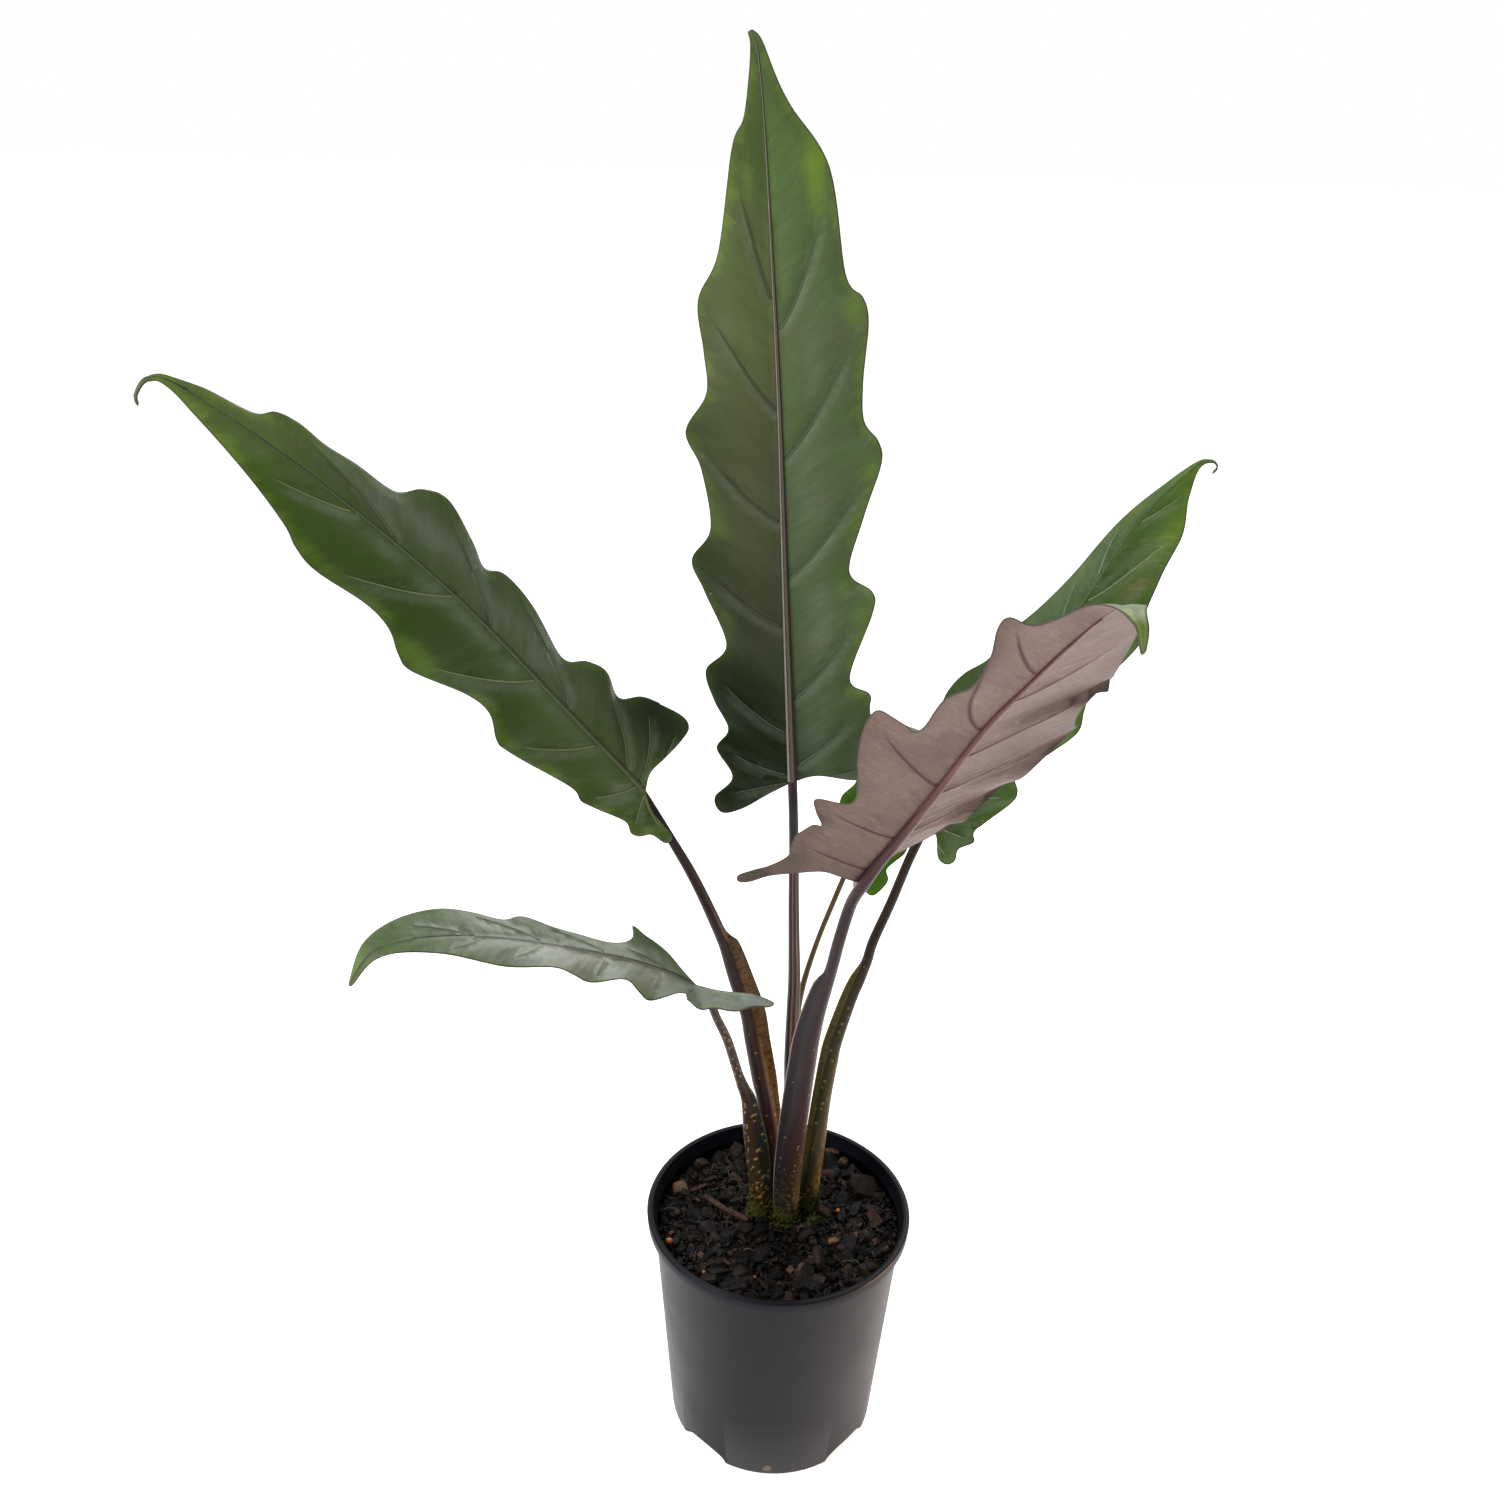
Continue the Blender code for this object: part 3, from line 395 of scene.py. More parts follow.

# Upper side of each blade. left, right: its halves; the centre leaf's darker left half is partly painted
# shade.
# mottle, bright: the broad mottle and the bright patches. vein: the lines on the left and right half.
# rib: the midrib's left edge, middle and right edge; the pale left edge is partly a painted highlight and the
# dark right edge partly painted shade. vein_dark, streak: how dark the veins' painted shade and how strong
# the streaks of painted sheen are on each half. vein_side_shading: how strong the painted light and shade
# beside
# the veins are. gloss: specular level. sheen: the colour of the grey patches, a painted sheen.
TOPS = {
    "centre": dict(left=(0.060, 0.073, 0.033), right=(0.067, 0.102, 0.040), mottle=(0.074, 0.091, 0.043),
                   bright=(0.120, 0.200, 0.020), vein=((0.080, 0.082, 0.052), (0.095, 0.115, 0.074)),
                   rib=((0.370, 0.335, 0.280), (0.110, 0.086, 0.068), (0.020, 0.015, 0.012)),
                   vein_dark=(0.9, 0.8), streak=(0.15, 0.5), vein_side_shading=0.40, gloss=0.11,
                   sheen=(0.200, 0.225, 0.170)),
    "left": dict(left=(0.038, 0.076, 0.007), right=(0.054, 0.082, 0.021), mottle=(0.044, 0.074, 0.014),
                 bright=(0.110, 0.190, 0.014), vein=((0.180, 0.220, 0.090), (0.110, 0.150, 0.065)),
                 rib=((0.190, 0.225, 0.130), (0.090, 0.105, 0.050), (0.030, 0.036, 0.018)),
                 vein_dark=(0.35, 0.7), streak=(0.25, 0.30), vein_side_shading=0.50, gloss=0.28,
                 sheen=(0.200, 0.225, 0.170)),
    "low_left": dict(left=(0.066, 0.090, 0.040), right=(0.054, 0.084, 0.030), mottle=(0.076, 0.100, 0.048),
                     bright=(0.120, 0.200, 0.030), vein=((0.210, 0.235, 0.160), (0.090, 0.110, 0.070)),
                     rib=((0.130, 0.145, 0.095), (0.060, 0.066, 0.042), (0.026, 0.028, 0.016)),
                     vein_dark=(0.15, 0.45), streak=(0.05, 0.1), vein_side_shading=0.22, gloss=0.42,
                     sheen=(0.315, 0.340, 0.280)),
    "front": dict(left=(0.066, 0.112, 0.026), right=(0.066, 0.108, 0.026), mottle=(0.082, 0.122, 0.036),
                  bright=(0.180, 0.240, 0.046), vein=((0.200, 0.230, 0.120), (0.200, 0.230, 0.120)),
                  rib=((0.160, 0.210, 0.080), (0.150, 0.190, 0.070), (0.120, 0.160, 0.050)),
                  vein_dark=(0.3, 0.3), streak=(0.3, 0.3), vein_side_shading=0.0, gloss=0.14,
                  sheen=(0.170, 0.195, 0.130)),
    "right": dict(left=(0.062, 0.110, 0.038), right=(0.042, 0.088, 0.012), mottle=(0.052, 0.092, 0.020),
                  bright=(0.090, 0.160, 0.010), vein=((0.210, 0.280, 0.140), (0.200, 0.260, 0.120)),
                  rib=((0.180, 0.260, 0.120), (0.110, 0.170, 0.065), (0.026, 0.045, 0.012)),
                  vein_dark=(0.4, 0.4), streak=(0.3, 0.3), vein_side_shading=0.4, gloss=0.15,
                  sheen=(0.170, 0.220, 0.130)),
    "young": dict(left=(0.040, 0.105, 0.005), right=(0.040, 0.105, 0.005), mottle=(0.054, 0.130, 0.008),
                  bright=(0.110, 0.220, 0.012), vein=((0.150, 0.240, 0.060), (0.150, 0.240, 0.060)),
                  rib=((0.150, 0.240, 0.080), (0.110, 0.180, 0.050), (0.040, 0.080, 0.015)),
                  vein_dark=(0.3, 0.3), streak=(0.3, 0.3), vein_side_shading=0.3, gloss=0.12,
                  sheen=(0.170, 0.220, 0.130)),
}

# Soft patches: kind, then along, across, the reach along and across in millimetres, and strength. The dark
# ones are painted shade and darken the lower side too, the pale ones are painted light, the grey ones are a
# painted sheen, and the fold ones show on the lower side alone.
PATCHES = {
    "centre": [("dark", -14, -26, 80, 34, 1.7), ("grey", 4, 34, 12, 5, 0.4), ("dark", 60, -38, 70, 16, 0.6),
               ("dark", 6, 30, 34, 26, 0.65), ("pale", 230, -20, 60, 26, 0.9),
               ("olive", 130, -12, 70, 12, 0.40), ("green", 220, -16, 60, 22, 0.5),
               ("bright", 272, 21, 22, 6, 1.0), ("bright", 272, -9, 14, 4, 0.5),
               ("bright", 213, 36, 14, 7, 0.7), ("bright", 144, 42, 16, 8, 0.6),
               ("bright", 98, 27, 14, 6, 0.6), ("bright", 77, 35, 12, 6, 0.6),
               ("bright", 124, -30, 12, 8, 0.55), ("bright", 80, -29, 12, 7, 0.5),
               ("bright", 28, -33, 12, 6, 0.4), ("grey", 126, 13, 34, 8, 0.30),
               ("grey", 74, 16, 30, 9, 0.34), ("grey", 36, 12, 30, 8, 0.26), ("grey", 190, 16, 26, 5, 0.22),
               ("grey", 205, -24, 26, 6, 0.25), ("green", 285, 0, 40, 30, 0.6)],
    "left": [("bright", 190, -28, 30, 6, 0.75), ("bright", 158, -30, 22, 6, 0.55),
             ("bright", 128, -34, 22, 8, 0.85), ("bright", 100, -26, 18, 5, 0.5),
             ("bright", 71, -33, 20, 6, 0.65), ("bright", 30, -25, 18, 4, 0.5),
             ("bright", 225, 10, 16, 5, 0.5), ("bright", 0, 36, 10, 6, 0.5), ("dark", 18, 30, 28, 18, 0.95),
             ("pale", 250, 0, 50, 20, 1.0), ("pale", 245, 0, 30, 20, 0.9), ("pale", 45, -16, 50, 12, 0.7),
             ("dark", 60, -20, 90, 9, 0.30), ("grey", 120, -5, 110, 4, 0.50), ("grey", 95, 9, 34, 7, 0.50),
             ("grey", 158, 14, 30, 8, 0.55), ("grey", 60, 10, 20, 7, 0.35), ("grey", 12, -10, 16, 5, 0.4)],
    "low_left": [("bright", 165, 4, 12, 10, 0.8), ("bright", 130, 12, 18, 6, 0.4),
                 ("grey", 62, -6, 52, 12, 1.05), ("grey", 104, 5, 30, 9, 0.75),
                 ("grey", 40, 6, 26, 5, 0.45), ("dark", 22, 16, 16, 7, 0.6), ("dark", 28, -24, 18, 4, 0.5),
                 ("dark", -24, -14, 14, 7, 0.5), ("green", 150, 0, 30, 20, 0.8),
                 ("green", 60, -22, 40, 5, 0.6)],
    "front": [("bright", 256, 0, 16, 16, 1.4), ("grey", 232, 0, 12, 14, 0.9), ("fold", -6, 45, 5, 2, 1.0),
              ("dark", -11, 44, 15, 9, 1.2), ("dark", 7, 32, 15, 9, 0.75), ("dark", 10, 16, 24, 16, 0.35),
              ("dark", 55, 20, 26, 20, 0.20), ("dark", 120, -24, 44, 20, 0.34)],
    "right": [("pale", 222, 0, 46, 30, 1.0), ("pale", 150, -12, 50, 12, 0.6),
              ("bright", 195, 20, 26, 8, 0.7), ("bright", 165, 28, 18, 7, 0.5),
              ("brown", 160, 22, 14, 7, 0.6), ("grey", 160, -13, 60, 6, 0.55),
              ("grey", 60, -14, 40, 8, 0.45), ("dark", 180, 6, 40, 4, 0.4), ("dark", 20, 16, 30, 16, 0.3)],
    "young": [("bright", 30, 18, 20, 6, 0.5)],
}

# Stalks. foot, main: the colour near the foot and above it. worn: how high the foot's colour reaches, in
# millimetres. sheath, margin, dash: the sheath, its edge and the dashes. mottle: how blotched the sheath is.
# dashes: how many there are. mark: how large they are. crease: how sharply the sheath turns off the stalk.
# gloss: specular level.
STALKS = {
    "centre": dict(foot=(0.024, 0.020, 0.012), main=(0.011, 0.009, 0.011), sheath=(0.014, 0.010, 0.011),
                   margin=(0.05, 0.04, 0.03), dash=(0.12, 0.09, 0.04), mottle=0.0, dashes=0.15, crease=0.0,
                   gloss=0.26, worn=225.0, mark=0.42),
    "left": dict(foot=(0.028, 0.020, 0.011), main=(0.026, 0.012, 0.012), sheath=(0.064, 0.038, 0.010),
                 margin=(0.020, 0.014, 0.008), dash=(0.20, 0.14, 0.04), mottle=0.9, dashes=0.35, crease=0.9,
                 gloss=0.13, worn=235.0, mark=0.42),
    "low_left": dict(foot=(0.034, 0.026, 0.010), main=(0.040, 0.018, 0.012), sheath=(0.012, 0.013, 0.009),
                     margin=(0.070, 0.075, 0.035), dash=(0.30, 0.20, 0.07), mottle=0.3, dashes=0.95,
                     crease=0.6, gloss=0.20, worn=240.0, mark=0.66),
    "front": dict(foot=(0.026, 0.024, 0.013), main=(0.034, 0.018, 0.020), sheath=(0.017, 0.013, 0.015),
                  margin=(0.260, 0.200, 0.160), dash=(0.22, 0.18, 0.10), mottle=0.0, dashes=0.30,
                  crease=0.75, gloss=0.13, worn=235.0, mark=0.42),
    "right": dict(foot=(0.042, 0.035, 0.012), main=(0.034, 0.020, 0.012), sheath=(0.068, 0.056, 0.013),
                  margin=(0.300, 0.300, 0.060), dash=(0.16, 0.14, 0.04), mottle=0.5, dashes=0.5, crease=0.7,
                  gloss=0.16, worn=310.0, mark=0.50),
    "young": dict(foot=(0.050, 0.045, 0.012), main=(0.110, 0.070, 0.022), sheath=(0.110, 0.070, 0.022),
                  margin=(0.110, 0.070, 0.022), dash=(0.15, 0.12, 0.04), mottle=0.0, dashes=0.5, crease=0.0,
                  gloss=0.20, worn=225.0, mark=0.42),
}


def shaded(colour, factor):
    return tuple(channel * factor for channel in colour)


def unit(vectors):
    vectors = np.asarray(vectors, float)
    return vectors / np.linalg.norm(vectors, axis=-1, keepdims=True)


def smooth_curve(points, per_span):
    """Catmull-Rom curve through points of any dimension, with per_span samples a span."""
    points = np.array(points, float)
    padded = np.vstack([2 * points[0] - points[1], points, 2 * points[-1] - points[-2]])
    t = (np.arange(per_span) / per_span)[:, None]
    spans = []
    for a, b, c, d in zip(padded, padded[1:], padded[2:], padded[3:]):
        bend = (2 * a - 5 * b + 4 * c - d) * t**2 + (3 * b - a - 3 * c + d) * t**3
        spans.append(0.5 * (2 * b + (c - a) * t + bend))
    return np.vstack(spans + [points[-1:]])


def lengths_along(points):
    return np.concatenate([[0], np.cumsum(np.linalg.norm(np.diff(points, axis=0), axis=1))])


def at_lengths(points, lengths, wanted):
    return np.stack([np.interp(wanted, lengths, column) for column in points.T], -1)


def resampled(points, step):
    lengths = lengths_along(points)
    count = max(2, round(lengths[-1] / step))
    return at_lengths(points, lengths, np.linspace(0, lengths[-1], count + 1))


def smoothstep(low, high, value):
    share = np.clip((np.asarray(value, float) - low) / (high - low), 0, 1)
    return share * share * (3 - 2 * share)


def bell(value, centre, width):
    return np.exp(-(((np.asarray(value, float) - centre) / width) ** 2))


def nearest(points, targets):
    """Distance from each point to the nearest target, and which target that is."""
    tree = KDTree(len(targets))
    for i, (x, y) in enumerate(targets):
        tree.insert((x, y, 0), i)
    tree.balance()
    found = [tree.find((x, y, 0)) for x, y in points]
    return np.array([f[2] for f in found]), np.array([f[1] for f in found])


class Blade:
    """Maps (along, out) in millimetres on one half of a leaf to a point in space, as in the CAD."""

    def __init__(self, name):
        self.name = name
        self.leaf = LEAVES[name]
        self.points = smooth_curve(self.leaf["midrib"], MIDRIB_STEPS)
        self.lengths = lengths_along(self.points)
        self.length = self.lengths[-1]
        self.tangents = unit(np.gradient(self.points, axis=0))
        normal = np.array(self.leaf["facing"], float)
        normals = []
        for tangent in self.tangents:
            normal = unit(normal - (normal @ tangent) * tangent)
            normals.append(normal)
        self.normals = np.array(normals)
        self.edges = {-1: self.edge("left"), 1: self.edge("right")}
        self.waves = {side: self.wave(edge) for side, edge in self.edges.items()}

    def edge(self, side):
        outline = [(0, 0)] + self.leaf[side] + [(self.length - 1.5, 1.6), (self.length, 0)]
        curve = smooth_curve(outline, EDGE_STEPS)
        fine = TIP_FINENESS.get(self.name, 0) * smoothstep(self.length - 32, self.length - 4, curve[:, 0])
        return curve * np.stack([np.ones(len(curve)), 1 - fine], -1)

    @staticmethod
    def wave(edge):
        """How far the edge stands out past its own running mean, by where its vein leaves the midrib."""
        even = resampled(edge, EDGE_STEP)
        along = np.maximum.accumulate(even[:, 0] - VEIN_SLANT * even[:, 1])
        window = 2 * RUFFLE_MEAN_REACH + 1
        padded = np.pad(even[:, 1], RUFFLE_MEAN_REACH, mode="edge")
        mean = np.convolve(padded, np.ones(window) / window, mode="valid")
        fade = np.clip(np.minimum(np.arange(len(even)), np.arange(len(even))[::-1]) / 20, 0, 1)
        return along, (even[:, 1] - mean) * fade, np.maximum(even[:, 1], 6)

    def frames(self, along):
        inside = np.clip(along, 0, self.length)
        point = at_lengths(self.points, self.lengths, inside)
        tangent = unit(at_lengths(self.tangents, self.lengths, inside))
        normal = at_lengths(self.normals, self.lengths, inside)
        normal = unit(normal - (normal * tangent).sum(-1, keepdims=True) * tangent)
        beyond = (along - inside)[:, None]
        lift = math.radians(self.leaf["tail"])
        rise = np.where(beyond < 0, tangent * math.cos(lift) - normal * math.sin(lift), tangent)
        return point + beyond * rise, tangent, normal, np.cross(tangent, normal)

    def at(self, along, across):
        """Points in millimetres. across is positive on the right half and negative on the left."""
        along = np.asarray(along, float)
        across = np.asarray(across, float)
        point, _, normal, sideways = self.frames(along)
        angle = np.zeros_like(along)
        ripple = np.zeros_like(along)
        out = np.abs(across)
        for side, name in ((-1, "left"), (1, "right")):
            half = across * side > 0
            share, degrees = zip(*self.leaf["fold_" + name])
            angle[half] = np.radians(np.interp(along[half] / self.length, share, degrees))
            where, wave, width = self.waves[side]
            root = along[half] - VEIN_SLANT * out[half]
            reach = np.clip(out[half] / np.interp(root, where, width), 0, 1.2)
            ripple[half] = self.leaf.get("ruffle_" + name, RUFFLE) * np.interp(root, where, wave) * reach**2
        raised = np.sqrt(out**2 + CREASE**2) - CREASE
        height = (raised * np.sin(angle) + ripple)[:, None]
        return point + (across * np.cos(angle))[:, None] * sideways + height * normal

    def upward(self, along, across):
        """Unit normals of the upper face."""
        step = 0.4
        forward = self.at(along + step, across) - self.at(along - step, across)
        outward = self.at(along, across + step) - self.at(along, across - step)
        return unit(np.cross(outward, forward))

    def rib_half(self, along):
        """Half width of the midrib's band on the upper face."""
        share = np.clip(np.asarray(along, float) / self.length, 0, 1)
        return RIB_WIDTHS[self.name] * (0.16 + 1.95 * (1 - share) ** 1.15)


# Nodes and materials


class Nodes:
    """Adds nodes to one tree. An input is a number, a tuple or another node's output."""

    def __init__(self, tree):
        self.tree = tree

    def put(self, socket, value):
        if isinstance(value, bpy.types.NodeSocket):
            self.tree.links.new(value, socket)
        elif isinstance(value, tuple) and len(value) == 3 and socket.type == "RGBA":
            socket.default_value = (*value, 1)
        else:
            socket.default_value = value

    def add(self, kind, inputs, output=0, **settings):
        """Adds a node and returns one of its outputs. inputs: values by the sockets' names or numbers."""
        node = self.tree.nodes.new("ShaderNode" + kind)
        for key, value in settings.items():
            setattr(node, key, value)
        for key, value in inputs.items():
            self.put(node.inputs[key], value)
        return node.outputs[output]

    def maths(self, operation, *values):
        return self.add("Math", dict(enumerate(values)), operation=operation)

    def times(self, a, b):
        return self.maths("MULTIPLY", a, b)

    def plus(self, a, b):
        return self.maths("ADD", a, b)

    def ramp(self, value, low, high, kind="SMOOTHSTEP"):
        """0 below low and 1 above high. low may be the larger one, which turns it round."""
        ends = (0.0, 1.0) if low < high else (1.0, 0.0)
        inputs = (value, min(low, high), max(low, high), *ends)
        return self.add("MapRange", dict(enumerate(inputs)), interpolation_type=kind)

    def between(self, value, low, high):
        """1 between low and high and 0 outside, with soft ends."""
        soft = 0.12
        inside = self.ramp(value, high + soft, high - soft)
        return self.times(self.ramp(value, low - soft, low + soft), inside)

    def pick(self, share, a, b):
        """A number from a to b."""
        return self.add("Mix", {0: share, 2: a, 3: b}, data_type="FLOAT")

    def mix(self, share, a, b, blend="MIX"):
        """A colour from a to b."""
        return self.add("Mix", {0: share, 6: a, 7: b}, 2, data_type="RGBA", blend_type=blend)

    def tint(self, colour, factors):
        return self.mix(1.0, colour, factors, "MULTIPLY")


class Paint(Nodes):
    """A Principled material. layer lays a colour over the ones before it, and dent adds to its relief."""

    def __init__(self, name, roughness, specular, place=None):
        self.material = bpy.data.materials.new(name)
        self.material.use_nodes = True
        super().__init__(self.material.node_tree)
        self.shader = self.tree.nodes["Principled BSDF"]
        self.put(self.shader.inputs["Roughness"], roughness)
        self.put(self.shader.inputs["Specular IOR Level"], specular)
        self.place = self.attribute(place, "Vector") if place else self.add("TexCoord", {}, "Object")
        self.colour = None
        self.relief = None

    def attribute(self, name, output="Fac"):
        return self.add("Attribute", {}, output, attribute_name=name)

    def read_at(self, scale):
        """Inputs that place a texture. A scale of three numbers stretches it."""
        if isinstance(scale, tuple):
            return {"Vector": self.add("Mapping", {"Vector": self.place, "Scale": scale}), "Scale": 1.0}
        return {"Vector": self.place, "Scale": scale}

    def noise(self, scale, detail=3.0, rough=0.6):
        return self.add("TexNoise", self.read_at(scale) | {"Detail": detail, "Roughness": rough}, "Fac")

    def cells(self, scale):
        """Scattered cells: how far their middles are, and a random number for each."""
        distance = self.add("TexVoronoi", self.read_at(scale), "Distance")
        return distance, self.add("SeparateColor", {0: distance.node.outputs["Color"]})

    def layer(self, colour, share):
        self.colour = self.mix(share, self.colour, colour)

    def tinted(self, factors):
        return self.tint(self.colour, factors)

    def roughen(self, share, low, high):
        self.put(self.shader.inputs["Roughness"], self.pick(share, low, high))

    def dent(self, height, strength, distance):
        before = {} if self.relief is None else {"Normal": self.relief}
        values = {"Height": height, "Strength": strength, "Distance": distance}
        self.relief = self.add("Bump", values | before)

    def done(self):
        self.put(self.shader.inputs["Base Color"], self.colour)
        if self.relief is not None:
            self.put(self.shader.inputs["Normal"], self.relief)
        return self.material


def top_material(name, look):
    """Upper face: two halves, soft patches, streaks, fine vein lines and the midrib's three bands. Among them
    are painted shade, light and sheen: the dark, pale and grey patches, the streaks, the light and shade
    beside the veins, the shade along the veins and midrib, and the midrib's lit edge.
    """
    leaf = Paint("leaf_top_" + name, 0.36, look["gloss"], "lie")
    ramp, times = leaf.ramp, leaf.times
    vein, strength, rim, rib, vein_side_shading = map(leaf.attribute, ("vein", "strength", "rim", "rib", "vein_side_shading"))
    right = ramp(leaf.attribute("side"), -0.5, 0.5)
    broad = leaf.noise((0.028, 0.020, 0.0))
    patchy = leaf.noise((0.085, 0.050, 0.0))
    streak = leaf.noise((0.40, 0.035, 0.0), 4.0, 0.62)
    fine = leaf.noise((1.7, 0.22, 0.0))
    leaf.colour = leaf.mix(right, look["left"], look["right"])
    leaf.layer(look["mottle"], times(ramp(broad, 0.44, 0.66), 0.8))
    leaf.layer(GREEN_PATCH, times(leaf.attribute("green"), 0.9))
    leaf.layer(OLIVE_PATCH, times(leaf.attribute("olive"), 0.9))
    edge = leaf.plus(ramp(rim, 9.0, 0.0, "LINEAR"), times(patchy, 2.2))
    near = leaf.plus(leaf.attribute("bright"), leaf.plus(times(patchy, 0.7), times(streak, 0.3)))
    near = times(ramp(near, 0.68, 1.60), 0.85)
    leaf.layer(look["bright"], leaf.maths("MAXIMUM", times(ramp(edge, 1.55, 2.30), 0.45), near))
    leaf.layer(BROWN_PATCH, times(leaf.attribute("brown"), ramp(patchy, 0.4, 0.6)))
    # Dark patches are painted shade and pale patches are painted light.
    leaf.layer(leaf.tinted(PAINTED_SHADE_PATCH_TINT), leaf.attribute("dark"))
    leaf.layer(leaf.tinted(PAINTED_LIGHT_PATCH_TINT), leaf.attribute("pale"))
    # The grey patches are a painted sheen.
    cloudy = leaf.plus(times(patchy, 0.85), times(streak, 0.15))
    leaf.layer(look["sheen"], times(leaf.attribute("grey"), ramp(cloudy, 0.20, 0.75)))
    # Streaks of painted sheen along the slant of the veins.
    shade = leaf.plus(times(streak, 0.7), times(fine, 0.5))
    leaf.layer(leaf.tinted(STREAK_SHEEN_TINT), times(ramp(shade, 0.50, 0.86), leaf.pick(right, *look["streak"])))
    # Painted light on one side of each vein and painted shade on the other.
    leaf.layer(leaf.mix(0.5, leaf.colour, look["sheen"]), times(ramp(vein_side_shading, 0.05, 0.9), look["vein_side_shading"]))
    leaf.layer(leaf.tinted(VEIN_SIDE_SHADE_TINT), times(ramp(vein_side_shading, -0.05, -0.9), look["vein_side_shading"]))
    deep = leaf.tinted(VEIN_SHADE_TINT)
    leaf.layer(deep, times(times(ramp(vein, 1.9, 0.8), strength), leaf.pick(right, *look["vein_dark"])))
    along_vein = times(ramp(strength, 0.0, 0.6), 0.95)
    leaf.layer(leaf.mix(right, *look["vein"]), times(ramp(vein, 0.85, 0.45), along_vein))
    leaf.layer(TOP_MARGIN, times(ramp(rim, 0.9, 0.2), 0.7))
    # A band of painted shade each side of the midrib. Of the midrib's bands, the pale left edge is partly a
    # painted highlight and the dark right edge partly painted shade.
    leaf.layer(deep, times(ramp(leaf.maths("ABSOLUTE", rib), 2.1, 1.1), 0.6))
    rib_left, rib_middle, rib_right = look["rib"]
    leaf.layer(rib_right, leaf.between(rib, -1.1, 1.2))
    leaf.layer(rib_middle, leaf.between(rib, -0.45, 0.42))
    fleck = leaf.pick(ramp(fine, 0.35, 0.75), 0.75, 1.0)
    leaf.layer(rib_left, times(leaf.between(rib, -1.12, -0.62), fleck))
    specks, _ = leaf.cells((0.060, 0.060, 0.0))
    leaf.layer(SPECK, times(ramp(specks, 0.022, 0.014), 0.9))
    leaf.roughen(ramp(patchy, 0.3, 0.7), 0.32, 0.42)
    leaf.dent(fine, 0.22, 0.0003)
    leaf.dent(leaf.noise((2.2, 2.2, 0.0), 2.0), 0.10, 0.0002)
    leaf.dent(leaf.noise((0.11, 0.07, 0.0), 2.0, 0.55), 0.40, 0.0022)
    return leaf.done()


def under_material(name, green):
    """Lower face: pinkish brown and mottled, with dark veins, a purple-brown midrib and dark margins. One
    half is painted in shade, the dark patches are painted shade, the vein ridges carry a painted highlight,
    and the wrinkles carry painted shade and highlight.
    """
    leaf = Paint("leaf_under_" + name, 0.50, 0.20, "lie")
    ramp, times = leaf.ramp, leaf.times
    vein, strength, rim = map(leaf.attribute, ("vein", "strength", "rim"))
    rib = leaf.maths("ABSOLUTE", leaf.attribute("rib"))
    right = ramp(leaf.attribute("side"), -0.5, 0.5)
    along = leaf.add("SeparateXYZ", {0: leaf.place}, "Z")
    streak = leaf.noise((0.30, 0.045, 0.0), 4.0, 0.65)
    grain = leaf.noise(1.4, 4.0, 0.7)
    crinkle = leaf.noise((0.62, 0.050, 0.0), 3.0, 0.55)
    crinkled = times(leaf.pick(right, 1.0, 0.25), ramp(along, 150.0, 40.0))
    leaf.colour = leaf.mix(right, UNDER, UNDER_SHADED)
    leaf.layer(UNDER_DARK, times(ramp(leaf.noise((0.030, 0.026, 0.0), 4.0), 0.42, 0.66), 0.65))
    leaf.layer(UNDER_PALE, times(ramp(streak, 0.50, 0.78), 0.35))
    leaf.layer(UNDER_PALE, times(ramp(leaf.noise(0.16), 0.56, 0.72), leaf.pick(right, 0.45, 0.20)))
    leaf.layer(UNDER_DARK, times(ramp(grain, 0.50, 0.80), 0.30))
    leaf.layer(UNDER_DARK, times(ramp(leaf.noise(0.45, 4.0, 0.7), 0.52, 0.66), 0.50))
    leaf.layer(UNDER_DARK, times(ramp(rim, 9.0, 1.0, "LINEAR"), 0.30))
    # The wrinkles' hollows are painted darker and their crests paler, as painted shade and highlight over
    # their bump.
    leaf.layer(UNDER_DARK, times(ramp(crinkle, 0.46, 0.34), times(crinkled, 0.55)))
    leaf.layer(UNDER_PALE, times(ramp(crinkle, 0.54, 0.66), times(crinkled, 0.45)))
    # The dark patches darken this side too, as painted shade.
    leaf.layer(leaf.tinted(UNDER_PAINTED_SHADE_TINT), leaf.maths("MINIMUM", leaf.attribute("dark"), 0.9))
    leaf.layer(FOLD_GREEN, leaf.attribute("fold"))
    leaf.layer(UNDER_GREEN, green)
    # A painted highlight on the raised ridge beside each vein.
    leaf.layer(leaf.tinted(UNDER_RIDGE_HIGHLIGHT_TINT), times(ramp(vein, 5.0, 1.5), times(strength, 0.5)))
    leaf.layer(UNDER_VEIN, times(ramp(vein, 1.5, 0.7), times(strength, leaf.pick(right, 0.75, 0.95))))
    beside = leaf.mix(ramp(along, 20.0, 110.0), UNDER_RIB_FOOT, UNDER_RIB)
    leaf.layer(beside, times(ramp(rib, 2.0, 1.2), 0.95))
    leaf.layer(UNDER_RIB_FOOT, times(ramp(rib, 3.4, 1.2), times(ramp(along, 110.0, 5.0), 0.65)))
    knot = times(ramp(vein, 3.4, 1.2), ramp(rib, 5.5, 2.5))
    leaf.layer(UNDER_VEIN, times(knot, times(strength, 0.8)))
    leaf.layer(UNDER_MARGIN, times(ramp(rim, 0.9, 0.2), 0.7))
    leaf.dent(grain, 0.25, 0.0004)
    leaf.dent(streak, 0.30, 0.0009)
    leaf.dent(times(crinkle, crinkled), 0.60, 0.0030)
    return leaf.done()


